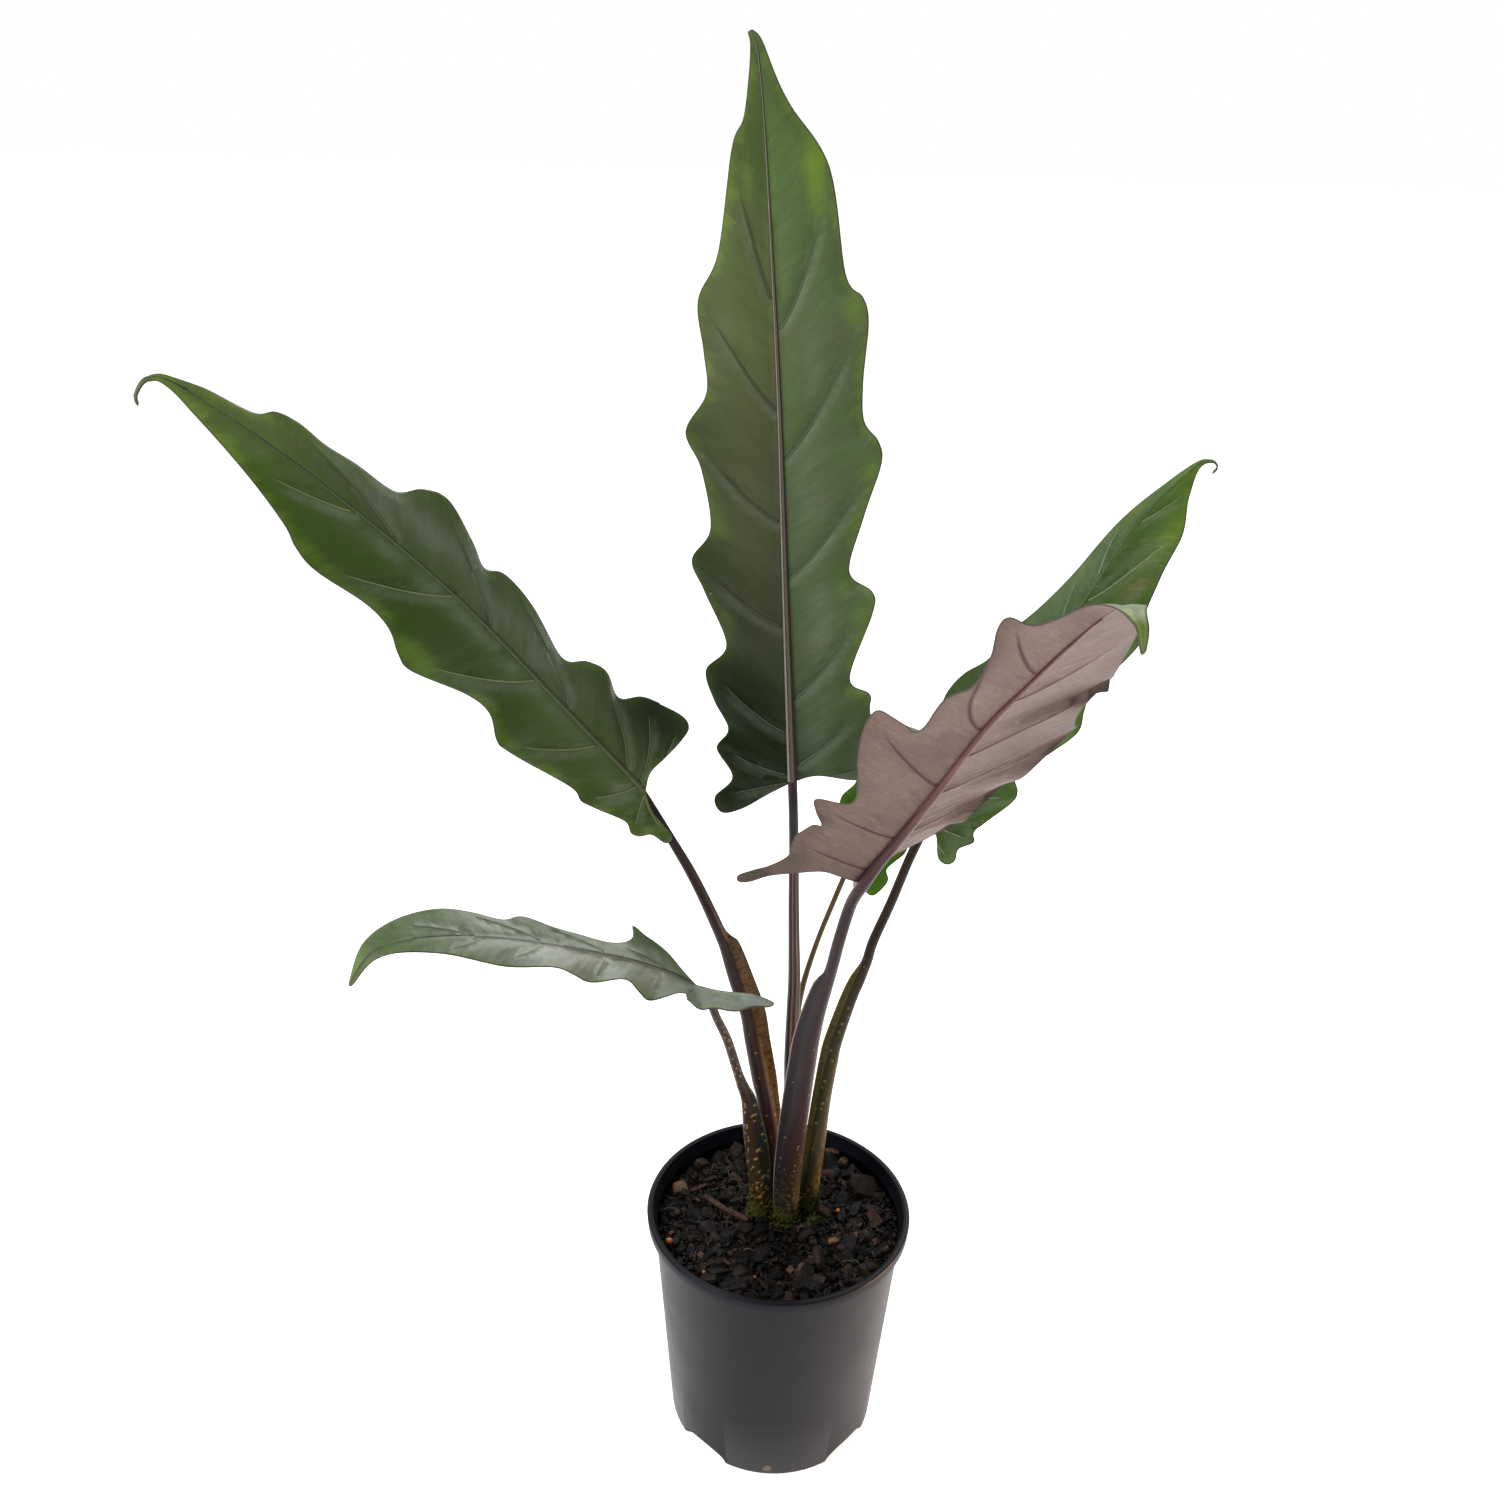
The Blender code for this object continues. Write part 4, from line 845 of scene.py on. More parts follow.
def stalk_material(name, look):
    """Dark stalk, mossy at the foot, with a paler sheath, dashes, and a brown rib under the blade."""
    stalk = Paint("stalk_" + name, 0.34, look["gloss"], "lie")
    ramp, times = stalk.ramp, stalk.times
    height, wing, groove = map(stalk.attribute, ("height", "wing", "groove"))
    streak = stalk.noise((0.55, 0.020, 0.0), 4.0)
    blotch = stalk.noise((0.16, 0.085, 0.0), 4.0)
    speck = stalk.noise((0.50, 0.40, 0.0), 4.0, 0.65)
    worn = stalk.plus(height, times(blotch, 60.0))
    stalk.colour = stalk.mix(ramp(worn, look["worn"], look["worn"] - 65.0), look["main"], look["foot"])
    spotted = times(ramp(speck, 0.50, 0.62), look["mottle"])
    stalk.layer(stalk.mix(spotted, look["sheath"], shaded(look["sheath"], 0.25)), ramp(wing, 0.06, 0.22))
    stalk.layer(SHEATH_SHADOW, times(stalk.between(wing, 0.02, 0.10), 0.85))
    stalk.layer(look["margin"], times(ramp(wing, 0.90, 1.0), times(ramp(streak, 0.28, 0.48), 0.95)))
    stalk.layer(GROOVE_EDGE, ramp(groove, 0.22, 0.45))
    stalk.layer(GROOVE_BED, ramp(groove, 0.55, 0.80))
    stalk.layer(stalk.tinted(STALK_STREAK_TINT), times(ramp(streak, 0.45, 0.72), 0.8))
    distance, chance = stalk.cells((0.62, 0.36, 0.0))
    size = stalk.pick(speck, 0.12, look["mark"])
    rare = 1.0 - 0.6 * look["dashes"]
    mark = times(ramp(stalk.maths("SUBTRACT", size, distance), 0.0, 0.08), ramp(chance, rare, rare + 0.03))
    low = stalk.maths("SUBTRACT", ramp(height, 330.0, 190.0), times(wing, 0.5))
    stalk.layer(look["dash"], times(mark, times(low, 0.85)))
    crust = stalk.plus(times(ramp(height, 205.0, 135.0), 0.30), speck)
    stalk.layer(look["dash"], times(ramp(crust, 0.74, 0.92), 0.28))
    moss = stalk.plus(ramp(height, 158.0, 124.0), times(speck, 1.1))
    stalk.layer(STALK_MOSS, times(ramp(moss, 1.10, 1.45), 0.85))
    grown = stalk.mix(stalk.attribute("ribward"), UNDER_RIB_FOOT, UNDER_RIB)
    under = stalk.mix(ramp(streak, 0.40, 0.70), grown, stalk.tint(grown, RIB_STREAK_TINT))
    stalk.layer(under, stalk.attribute("rib"))
    stalk.dent(streak, 0.30, 0.0006)
    stalk.dent(speck, 0.18, 0.0005)
    return stalk.done()


def pot_material(name, colour, roughness, specular):
    """Satin plastic with faint clouds, scuffs and dust. The body has its stains too."""
    pot = Paint(name, roughness, specular)
    ramp, times = pot.ramp, pot.times
    cloud = pot.noise(26.0, 4.0)
    pot.colour = pot.mix(ramp(cloud, 0.42, 0.72), colour, shaded(colour, 1.35))
    pot.layer(SCUFF, times(ramp(pot.noise((210.0, 210.0, 25.2), 3.0, 0.7), 0.66, 0.80), 0.20))
    distance, chance = pot.cells(130.0)
    pot.layer(DUST, times(times(ramp(distance, 0.07, 0.04), ramp(chance, 0.86, 0.88)), 0.6))
    for centre, reach, stain in STAINS if name == "pot_body" else ():
        gap = pot.add("VectorMath", {0: pot.place, 1: centre}, "Value", operation="DISTANCE")
        near = pot.plus(pot.maths("DIVIDE", gap, reach), pot.noise(300.0))
        pot.layer(stain, times(ramp(near, 1.35, 0.9), 0.8))
    pot.roughen(ramp(cloud, 0.3, 0.7), roughness - 0.03, roughness + 0.06)
    pot.dent(pot.noise(1500.0, 2.0), 0.12, 0.0002)
    return pot.done()


def soil_material():
    soil = Paint("soil", 0.62, 0.08)
    lumps = soil.noise(420.0, 5.0, 0.7)
    fine, coarse, broad = SOIL_TONES
    soil.colour = soil.mix(soil.ramp(lumps, 0.40, 0.70), fine, coarse)
    soil.layer(broad, soil.times(soil.ramp(soil.noise(90.0), 0.50, 0.75), 0.5))
    soil.dent(lumps, 0.8, 0.0012)
    return soil.done()


def bark_material():
    bark = Paint("bark", 0.40, 0.15)
    fibre = bark.noise((700.0, 700.0, 1540.0), 5.0, 0.7)
    crust = bark.noise(260.0, 4.0, 0.7)
    bark.colour = bark.add("ValToRGB", {0: bark.attribute("tone")})
    stops = bark.colour.node.color_ramp.elements
    stops[0].color = (*BARK_TONES[0][1], 1)
    stops[1].color = (*BARK_TONES[-1][1], 1)
    for at, tone in BARK_TONES[1:-1]:
        stops.new(at).color = (*tone, 1)
    bark.layer(bark.tinted(BARK_FIBRE_TINT), bark.ramp(fibre, 0.35, 0.75))
    bark.layer(BARK_CRUST, bark.times(bark.ramp(crust, 0.48, 0.62), 0.6))
    bark.roughen(bark.ramp(crust, 0.36, 0.52), 0.12, 0.70)
    bark.dent(fibre, 0.7, 0.0009)
    return bark.done()


def grainy_material(name, tones, scale, roughness, specular, strength, distance):
    """Two tones and a relief, both by one grain."""
    paint = Paint(name, roughness, specular)
    grain = paint.noise(scale, 4.0, 0.65)
    paint.colour = paint.mix(paint.ramp(grain, 0.38, 0.66), *tones)
    paint.dent(grain, strength, distance)
    return paint.done()


def toned_material(name, tones, scale, roughness, specular):
    """Each thread or tuft has its own tone between the first two, with the third in its grain."""
    paint = Paint(name, roughness, specular)
    paint.colour = paint.mix(paint.attribute("tone"), *tones[:2])
    paint.layer(tones[2], paint.ramp(paint.noise(scale, 2.0, 0.55), 0.4, 0.7))
    return paint.done()


# Meshes


def within(points, node):
    """Draws in the last stretch of each side of a piece that would stand out of its node's box."""
    low, high = (np.array(corner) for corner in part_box(node))
    for axis in range(3):
        for sign, wall in ((-1, low[axis]), (1, high[axis])):
            reach = (points[:, axis] * sign).max()
            over = reach - wall * sign
            if over > 0:
                share = smoothstep(reach - 12 * over - 0.004, reach, points[:, axis] * sign)
                points[:, axis] -= sign * over * share
    return points


def new_object(name, data):
    obj = bpy.data.objects.new(name, data)
    bpy.context.scene.collection.objects.link(obj)
    return obj


def new_piece(name, points, faces, finishes, slots=None, smooth=True, values=None):
    """An object from arrays: values maps attribute names to one number or one vector a point."""
    mesh = bpy.data.meshes.new(name)
    mesh.from_pydata(np.asarray(points, float).tolist(), [], faces)
    for finish in finishes:
        mesh.materials.append(finish)
    if slots is not None:
        mesh.polygons.foreach_set("material_index", np.asarray(slots, np.int32))
    if smooth:
        mesh.shade_smooth()
    for key, data in (values or {}).items():
        data = np.asarray(data, np.float32)
        kind, field = ("FLOAT_VECTOR", "vector") if data.ndim == 2 else ("FLOAT", "value")
        mesh.attributes.new(key, kind, "POINT").data.foreach_set(field, data.ravel())
    mesh.update()
    return new_object(name, mesh)


def outward(obj):
    """Turns the faces of a closed mesh outward."""
    bm = bmesh.new()
    bm.from_mesh(obj.data)
    bmesh.ops.recalc_face_normals(bm, faces=bm.faces)
    bm.to_mesh(obj.data)
    bm.free()


def tube_faces(rings, sides):
    """Quads between the rings of a closed tube, then a face over each end."""
    faces = []
    for ring in range(rings - 1):
        for i in range(sides):
            low = [ring * sides + i, ring * sides + (i + 1) % sides]
            faces.append(low + [low[1] + sides, low[0] + sides])
    last = (rings - 1) * sides
    return faces + [list(range(sides))[::-1], list(range(last, last + sides))]


def moved(faces, start):
    return [[i + start for i in face] for face in faces]


def inside_outline(points, loop):
    """Even-odd test of each point against a closed loop."""
    result = []
    for part in np.array_split(points, max(1, len(points) // 2000)):
        x, y = part[:, :1], part[:, 1:]
        a, b = loop, np.roll(loop, -1, axis=0)
        crosses = (a[:, 1] > y) != (b[:, 1] > y)
        rise = np.where(b[:, 1] == a[:, 1], 1, b[:, 1] - a[:, 1])
        result.append((crosses & (x < (b[:, 0] - a[:, 0]) * (y - a[:, 1]) / rise + a[:, 0])).sum(1) % 2 == 1)
    return np.concatenate(result)


def vein_lines(blade, veins):
    """Each vein as points, sideways directions, relative width and strength, in (along, across)."""
    lines = []
    t = np.linspace(0, 1, 60)[:, None]
    for name, sign in (("left", -1), ("right", 1)):
        for root, along, out, bow in veins[name]:
            start = np.array([root, 0.0])
            end = np.array([along, out])
            knee = start + (end - start) * (0.25 / bow, 0.47 * bow)
            curve = resampled((1 - t) ** 2 * start + 2 * t * (1 - t) * knee + t * t * end, 1.1)
            curve = curve[curve[:, 1] > blade.rib_half(root) + 0.9]
            if len(curve) < 3:
                continue
            heading = unit(np.gradient(curve, axis=0))
            aside = np.stack([-heading[:, 1], heading[:, 0]], -1)
            share = np.linspace(0, 1, len(curve))
            scale = np.linspace(1, 0.45, len(curve)) * min(1, blade.length / 250) ** 0.5
            flip = np.array([1, sign])
            lines.append((curve * flip, aside * flip, scale, 1 - smoothstep(0.50, 0.92, share)))
    return lines


def blade_points(blade, lines):
    """Flat points of a leaf, its outline first: rows beside the edge, midrib and veins, and a lattice."""
    right = resampled(blade.edges[1], EDGE_STEP)
    left = resampled(blade.edges[-1], EDGE_STEP)
    loop = np.vstack([right, left[-2:0:-1] * (1, -1)])
    dense = np.vstack([resampled(blade.edges[1], 0.35), resampled(blade.edges[-1], 0.35) * (1, -1)])
    along = np.arange(0.5, blade.length - 1.5, 1.4)
    half = blade.rib_half(along)
    groups = [(np.stack([along, half * share], -1), 0.2) for share in (0, 0.62, -0.62, 1, -1, 1.4, -1.4)]
    for offset, apart in ((0, 0.5), (0.6, 0.32), (-0.6, 0.32), (1.5, 0.7), (-1.5, 0.7)):
        for curve, aside, scale, _ in lines:
            groups.append((curve + aside * (offset * scale)[:, None], apart))
    heading = unit(np.roll(loop, -1, axis=0) - np.roll(loop, 1, axis=0))
    inward = np.stack([heading[:, 1], -heading[:, 0]], -1)
    if not inside_outline((loop + inward * 0.3)[5:6], loop)[0]:
        inward = -inward
    groups.append((loop + inward * 0.8, 0.6))
    lattice = []
    for number, row in enumerate(np.arange(-80 // CELL, 80 // CELL + 1)):
        places = np.arange(-70, blade.length + 20, CELL) + (number % 2) * CELL / 2
        lattice.append(np.stack([places, np.full(len(places), row * CELL * 0.866)], -1))
    groups.append((np.vstack(lattice), 0.62 * CELL))
    kept = [loop]
    for points, apart in groups:
        points = points[inside_outline(points, loop)]
        if len(points):
            points = points[nearest(points, dense)[0] > min(apart, 0.5)]
        if len(points):
            kept.append(points[nearest(points, np.vstack(kept))[0] > apart])
    return np.vstack(kept), len(loop), dense


def make_lamina(name, blade):
    lines = vein_lines(blade, VEINS[name])
    points, count, dense = blade_points(blade, lines)
    edges = [(i, (i + 1) % count) for i in range(count)]
    flat, _, faces, *_ = delaunay_2d_cdt([Vector(p) for p in points], edges, [], 1, 1e-5)
    flat = np.array([tuple(p) for p in flat])
    faces = [face[::-1] for face in faces]
    along, across = flat.T
    out = np.abs(across)
    middle, asides = (np.vstack([line[i] for line in lines]) for i in (0, 1))
    widths, fades = (np.concatenate([line[i] for line in lines]) for i in (2, 3))
    gap, index = nearest(flat, middle)
    vein = np.clip(gap / (0.6 * widths[index]), 0, 12)
    strength = fades[index]
    tipward = ((flat - middle[index]) * asides[index]).sum(1)
    # Which side of the nearest vein, fading away from it, for the painted light and shade beside the veins.
    vein_side_shading = np.sign(tipward) * bell(gap, 2.2, 2.4) * strength
    rim = nearest(flat, dense)[0]
    half = blade.rib_half(along)
    mid = np.where((along < -0.5) | (along > blade.length - 1), 9, out / half)
    share = np.clip(along / blade.length, 0, 1)
    reach = np.minimum(gap, np.maximum(0, out - half))
    dome = (LOW_LEAF_DOME if name == "low_left" else DOME) * (1 - np.exp(-reach / DOME_REACH))
    dome *= smoothstep(0, 7, rim) * smoothstep(1.0, 0.9, share)
    sunk = (-0.26 * bell(vein, 1.0, 0.8) + 0.12 * bell(vein, 0, 0.6)) * (0.25 + 0.75 * strength)
    sunk -= 0.45 * half / 2.2 * smoothstep(1.0, 0.3, mid)
    sunk += 0.22 * half / 2.2 * bell(mid, 1.0, 0.25) - 0.20 * bell(mid, 1.5, 0.3)
    sunk *= smoothstep(0, 2.0, rim)
    ridge = 0.40 * widths[index] * bell(vein, 0, 1.5) * strength + 0.55 * half * bell(mid, 0, 0.9)
    ridge *= smoothstep(0, 3.0, rim)
    thick = BLADE_THICKNESS / 2 * (0.45 + 0.55 * smoothstep(0, 3.5, rim))
    normal = blade.upward(along, across)
    surface = blade.at(along, across)
    upper = surface + normal * (dome + thick + sunk)[:, None]
    lower = surface + normal * (dome - thick - ridge)[:, None]
    total = len(flat)
    directed = {(a, b) for face in faces for a, b in zip(face, face[1:] + face[:1])}
    border = sorted((a, b) for a, b in directed if (b, a) not in directed)
    shell = faces + moved([face[::-1] for face in faces], total)
    shell += [[b, a, a + total, b + total] for a, b in border]
    slots = [0] * len(faces) + [1] * (len(faces) + len(border))
    apart = LEAF_APART * list(LEAVES).index(name)
    values = dict(vein=vein, strength=strength, rim=rim, side=np.clip(across / 3, -1, 1), vein_side_shading=vein_side_shading)
    values["rib"] = np.clip(np.sign(across) * mid, -4, 4)
    values["lie"] = np.stack([along - VEIN_SLANT * out + apart, across, along], -1)
    values |= {kind: np.zeros(total) for kind in PATCH_KINDS}
    for kind, at, off, reach_along, reach_across, amount in PATCHES[name]:
        spread = ((along - at) / reach_along) ** 2 + ((across - off) / reach_across) ** 2
        values[kind] = np.maximum(values[kind], amount * np.exp(-spread))
    values = {key: np.concatenate([data, data]) for key, data in values.items()}
    green = 0.75 if name in ("young", "right") else 0.0
    finishes = [top_material(name, TOPS[name]), under_material(name, green)]
    shape = within(np.vstack([upper, lower]) * MM, "blade_" + name)
    obj = new_piece("lamina_" + name, shape, shell, finishes, slots, values=values)
    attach(obj, "root")
    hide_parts("blade_" + name)


def stalk_rings(blade):
    """Rings of a stalk in millimetres, as in the CAD but closer: centre, half width, wing, and the axes."""
    keys = np.array(blade.leaf["stalk"], float)
    keys[0, 2] = STALK_FOOT / MM
    start = keys[-1, 3]
    reach = RIB_REACH * blade.length
    stations = np.linspace(0, reach, round(reach / RIB_STEP) + 1)
    share = stations / reach
    point, _, normal, sideways = blade.frames(stations)
    half = (start + (RIB_END_HALF - start) * share**0.8) * (1 - 0.65 * share**2)
    sunk = smoothstep(0, 26, stations) * half * 0.75 + smoothstep(0.9, 1.0, share)
    rib = point - normal * (BLADE_THICKNESS / 2 + RIB_GAP + half - sunk)[:, None]
    if sideways[0, 0] < 0:
        sideways = -sideways
    second = np.column_stack([rib, half, np.zeros(len(rib))])
    petiole = smooth_curve(np.vstack([keys, second[:2]]), 12)[: 12 * len(keys)]
    lengths = lengths_along(petiole[:, :3])
    count = round(lengths[-1] / STALK_STEP)
    lower = at_lengths(petiole, lengths, np.linspace(0, lengths[-1], count + 1))[:-1]
    rings = np.vstack([lower, second])
    tangents = unit(np.gradient(rings[:, :3], axis=0))
    tangents[0] = (0, 0, 1)
    run = lengths_along(rings[:, :3])
    past_notch = run - run[len(lower)]
    blend = smoothstep(0, TURN_LENGTH, -past_notch)[:, None]
    turn = np.vstack([np.repeat(sideways[:1], len(lower), axis=0), sideways])
    width = turn * (1 - blend) + np.array([1.0, 0, 0]) * blend
    width = unit(width - (width * tangents).sum(1, keepdims=True) * tangents)
    return rings, np.cross(tangents, width), width, run, past_notch


def make_petiole(name, blade):
    look = STALKS[name]
    rings, depth, width, run, past_notch = stalk_rings(blade)
    turns = 2 * math.pi * np.arange(STALK_SIDES) / STALK_SIDES
    around, rise = np.cos(turns), np.sin(turns)
    apart = STALK_APART * list(LEAVES).index(name)
    points, lie, wings, grooves = [], [], [], []
    for (x, y, z, half, wing), deep, wide, length, past_blade in zip(rings, depth, width, run, past_notch):
        far = abs(wing)
        reach = around * (half + np.where(around * wing > 0, far, 0))
        past = np.where(reach * np.sign(wing or 1) > 0, np.abs(reach), 0)
        into = smoothstep(0.70 * half, 0.70 * half + 0.9 + 0.4 * far, past) * min(1, far / 1.5)
        flat = 1 - 0.62 * into * (0.35 + 0.65 * look["crease"])
        notch = look["crease"] * 0.9 * bell(past, 0.92 * half, 0.7) * min(1, far / 2)
        high = rise * (half * flat - notch)
        high += np.sign(rise) * 0.25 * bell(past, half + far, 0.5) * min(1, far / 2)
        groove = np.zeros(STALK_SIDES)
        if name == "centre":
            run_in = smoothstep(GROOVE_LOW, GROOVE_LOW + 12, z) * smoothstep(GROOVE_HIGH, GROOVE_HIGH - 10, z)
            front = rise * deep[1] < 0
            groove = np.where(front, bell(reach, 0.1 * half, 0.42 * half), 0) * run_in
            high -= rise * GROOVE_DEPTH * groove
        ring = np.array([x, y, z]) + reach[:, None] * wide + high[:, None] * deep
        if past_blade > 0:
            spine, _, up, _ = blade.frames(np.array([past_blade]))
            ring -= np.maximum(0, (ring - spine) @ up[0] + RIB_COVER)[:, None] * up
        points.append(ring)
        lie.append(np.stack([turns * half + apart, np.full(STALK_SIDES, length), reach], -1))
        wings.append(np.clip((past - 0.75 * half) / max(far + 0.25 * half, 0.5), 0, 1) * min(1, far))
        grooves.append(groove)
    points = np.vstack(points)
    values = dict(lie=np.vstack(lie), wing=np.concatenate(wings), groove=np.concatenate(grooves))
    values["height"] = points[:, 2]
    values["rib"] = np.repeat(smoothstep(-14, 10, past_notch), STALK_SIDES)
    values["ribward"] = np.repeat(smoothstep(10, 110, past_notch), STALK_SIDES)
    shape = within(points * MM, "stalk_" + name)
    faces = tube_faces(len(rings), STALK_SIDES)
    obj = new_piece("petiole_" + name, shape, faces, [stalk_material(name, look)], values=values)
    outward(obj)
    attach(obj, "root")
    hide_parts("stalk_" + name)


def body_radius(z):
    return BASE_RADIUS + (BODY_TOP_RADIUS - BASE_RADIUS) * z / (POT_HEIGHT - RIM_BAND)


def inner_radius(z):
    share = (z - FLOOR) / (CHAMFER_TOP - FLOOR)
    slope = FLOOR_RADIUS + (body_radius(CHAMFER_TOP) - WALL - FLOOR_RADIUS) * share
    return min(body_radius(z) - WALL, slope)


def turned(name, profile, steps):
    """A profile of (radius, z), from axis to axis, turned round Z into a closed mesh."""
    angles = 2 * math.pi * np.arange(steps) / steps
    points = [np.stack([r * np.cos(angles), r * np.sin(angles), np.full(steps, z)], -1)
              for r, z in profile[1:-1]]
    points.append(np.array([[0, 0, profile[0][1]], [0, 0, profile[-1][1]]]))
    rows = len(profile) - 2
    faces = tube_faces(rows, steps)[:-2]
    for i in range(steps):
        j = (i + 1) % steps
        faces.append([rows * steps, j, i])
        faces.append([rows * steps + 1, (rows - 1) * steps + i, (rows - 1) * steps + j])
    obj = new_piece(name, np.vstack(points), faces, [])
    outward(obj)
    return obj


def pot_profile():
    """Inside from the floor's middle up, over the rim, and down the outside to the foot's middle."""
    band = POT_HEIGHT - RIM_BAND
    inside = [(0, FLOOR), (FLOOR_RADIUS, FLOOR)]
    inside += [(inner_radius(z), z) for z in (CHAMFER_TOP, 0.070, band - 0.001)]
    inside.append((RIM_INNER_RADIUS, band + 0.0015))
    rim = [(RIM_INNER_RADIUS, 0.0008), (RIM_INNER_RADIUS + 0.0004, 0.0002),
           ((RIM_RADIUS + RIM_INNER_RADIUS) / 2, 0), (RIM_RADIUS - 0.0010, 0.0001),
           (RIM_RADIUS - 0.0003, 0.0005), (RIM_RADIUS, 0.0012)]
    outside = [(RIM_RADIUS - 0.0004, band)]
    outside += [(body_radius(z), z) for z in (band, band - 0.0012, 0.090, 0.040, 0.0012)]
    foot = [(BASE_RADIUS - 0.0004, 0.0003), (BASE_RADIUS - 0.0012, 0), (0, 0)]
    return inside + [(radius, POT_HEIGHT - below) for radius, below in rim] + outside + foot


def cutter(name, bm, corner, location, rotation):
    """A helper solid for one cut: each of its corners goes where corner says."""
    for vert in bm.verts:
        vert.co = Vector(corner(vert.co))
    bm.normal_update()
    mesh = bpy.data.meshes.new(name)
    bm.to_mesh(mesh)
    bm.free()
    obj = new_object(name, mesh)
    obj.location = location
    obj.rotation_euler = rotation
    return obj


def foot_cutters(degrees):
    """The cone that scoops one corner of the foot, and the box of the drain slot in it."""
    azimuth = math.radians(degrees)
    way = np.array([math.cos(azimuth), math.sin(azimuth), 0])
    slope_out = body_radius(RECESS_TOP) - RECESS_FOOT_RADIUS
    grown = RECESS_REACH / slope_out
    scoop = bmesh.new()
    bmesh.ops.create_cone(scoop, cap_ends=True, segments=RECESS_SIDES, radius1=1, radius2=0, depth=1)
    yield cutter("recess", scoop, lambda co: (
        (0.5 - co.z) * RECESS_REACH, co.y * RECESS_WIDTH * grown, co.x * RECESS_TOP * grown),
        RECESS_FOOT_RADIUS * way, (0, 0, azimuth))
    box = bmesh.new()
    bmesh.ops.create_cube(box, size=1)
    place = (RECESS_FOOT_RADIUS + slope_out / 2) * way + (0, 0, RECESS_TOP / 2)
    yield cutter("slot", box, lambda co: (co.x * SLOT_HEIGHT, co.y * SLOT_WIDTH, co.z * SLOT_LENGTH),
                 place, (0, -math.atan2(RECESS_TOP, slope_out), azimuth))


def make_pot():
    pot = turned("pot_shell", pot_profile(), POT_STEPS)
    for look in POT_LOOKS:
        pot.data.materials.append(pot_material(*look))
    lip = (RIM_RADIUS + RIM_INNER_RADIUS) / 2
    # The inside and the lip's top take the darker looks, as painted shade.
    for face in pot.data.polygons:
        out = math.hypot(face.center.x, face.center.y)
        wall = min(body_radius(face.center.z) - WALL / 2, RIM_INNER_RADIUS + 0.0001)
        if out < wall and face.center.z > FLOOR / 2:
            face.material_index = 2
        elif face.center.z > POT_HEIGHT - 0.0011 and out < lip - 0.0002:
            face.material_index = 1
    helpers = [cut for degrees in RECESS_ANGLES for cut in foot_cutters(degrees)]
    for helper in helpers:
        cut = pot.modifiers.new("cut", "BOOLEAN")
        cut.operation = "DIFFERENCE"
        cut.object = helper
    graph = bpy.context.evaluated_depsgraph_get()
    shell = bpy.data.meshes.new_from_object(pot.evaluated_get(graph))
    pot.modifiers.clear()
    pot.data = shell
    for helper in helpers:
        bpy.data.objects.remove(helper)
    pot.data.set_sharp_from_angle(angle=math.radians(POT_SHARP_DEG))
    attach(pot, "root")
    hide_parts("pot")


def soil_height(x, y):
    """Top of the mix, as in the CAD."""
    away = math.hypot(x - CROWN_CENTRE[0], y - CROWN_CENTRE[1])
    mound = SOIL_MOUND * math.exp(-((away / 0.030) ** 2))
    coarse = noise.noise(Vector((x * 90, y * 90, 3.1)))
    fine = noise.noise(Vector((x * 210, y * 210, 7.7)))
    edge = min(1, max(0, (SOIL_REACH - math.hypot(x, y)) / 0.012))
    return SOIL_TOP + mound + SOIL_BUMP * (0.7 * coarse + 0.5 * fine) * edge - 0.001 * (1 - edge)


def crumbly_height(x, y):
    """Top of the mix with its grains."""
    crumb = noise.noise(Vector((x * 520, y * 520, 1.3)))
    crumb += 0.6 * noise.noise(Vector((x * 1300, y * 1300, 4.1)))
    return soil_height(x, y) + CRUMB * crumb


def make_soil():
    clear = GAP + 0.0001
    profile = [(0.45 * FLOOR_RADIUS, FLOOR + clear), (FLOOR_RADIUS - 0.001, FLOOR + clear)]
    profile += [(inner_radius(z) - clear, z) for z in (0.0040, CHAMFER_TOP + 0.0005, 0.045, 0.085, 0.118)]
    profile += [(radius, None) for radius in np.arange(0.0628, 0.0010, -SOIL_RING)]
    points = []
    for radius, z in profile:
        for angle in 2 * math.pi * np.arange(SOIL_COLUMNS) / SOIL_COLUMNS:
            x, y = radius * math.cos(angle), radius * math.sin(angle)
            points.append((x, y, crumbly_height(x, y) if z is None else z))
    soil = new_piece("soil_bed", points, tube_faces(len(profile), SOIL_COLUMNS), [soil_material()])
    outward(soil)
    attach(soil, "root")
    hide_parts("soil")


def lump_faces(places):
    """Quads over the 26 points of a box of 2 by 2 by 2 cells."""
    number = {place: i for i, place in enumerate(places)}
    faces = []
    for axis, side, u, v in product(range(3), (-1, 1), (-1, 0), (-1, 0)):
        corners = [(side, u, v), (side, u + 1, v), (side, u + 1, v + 1), (side, u, v + 1)]
        faces.append([number[tuple(np.roll(corner, axis).tolist())] for corner in corners][::side])
    return faces


def lump(random, places, size, jitter, rough):
    """A bark piece: points on a box whose corners and faces are pushed about."""
    corners = {key: np.array(key) * (1 + jitter * (random.random(3) - 0.6))
               for key in product((-1, 1), repeat=3)}
    points = []
    for place in places:
        near = [c for key, c in corners.items() if all(k == v or v == 0 for k, v in zip(key, place))]
        spread = np.mean(near, axis=0) * (1 + 0.12 * (3 - sum(map(abs, place))))
        points.append(spread + rough * (random.random(3) - 0.5))
    return np.array(points) * np.array(size) / 2


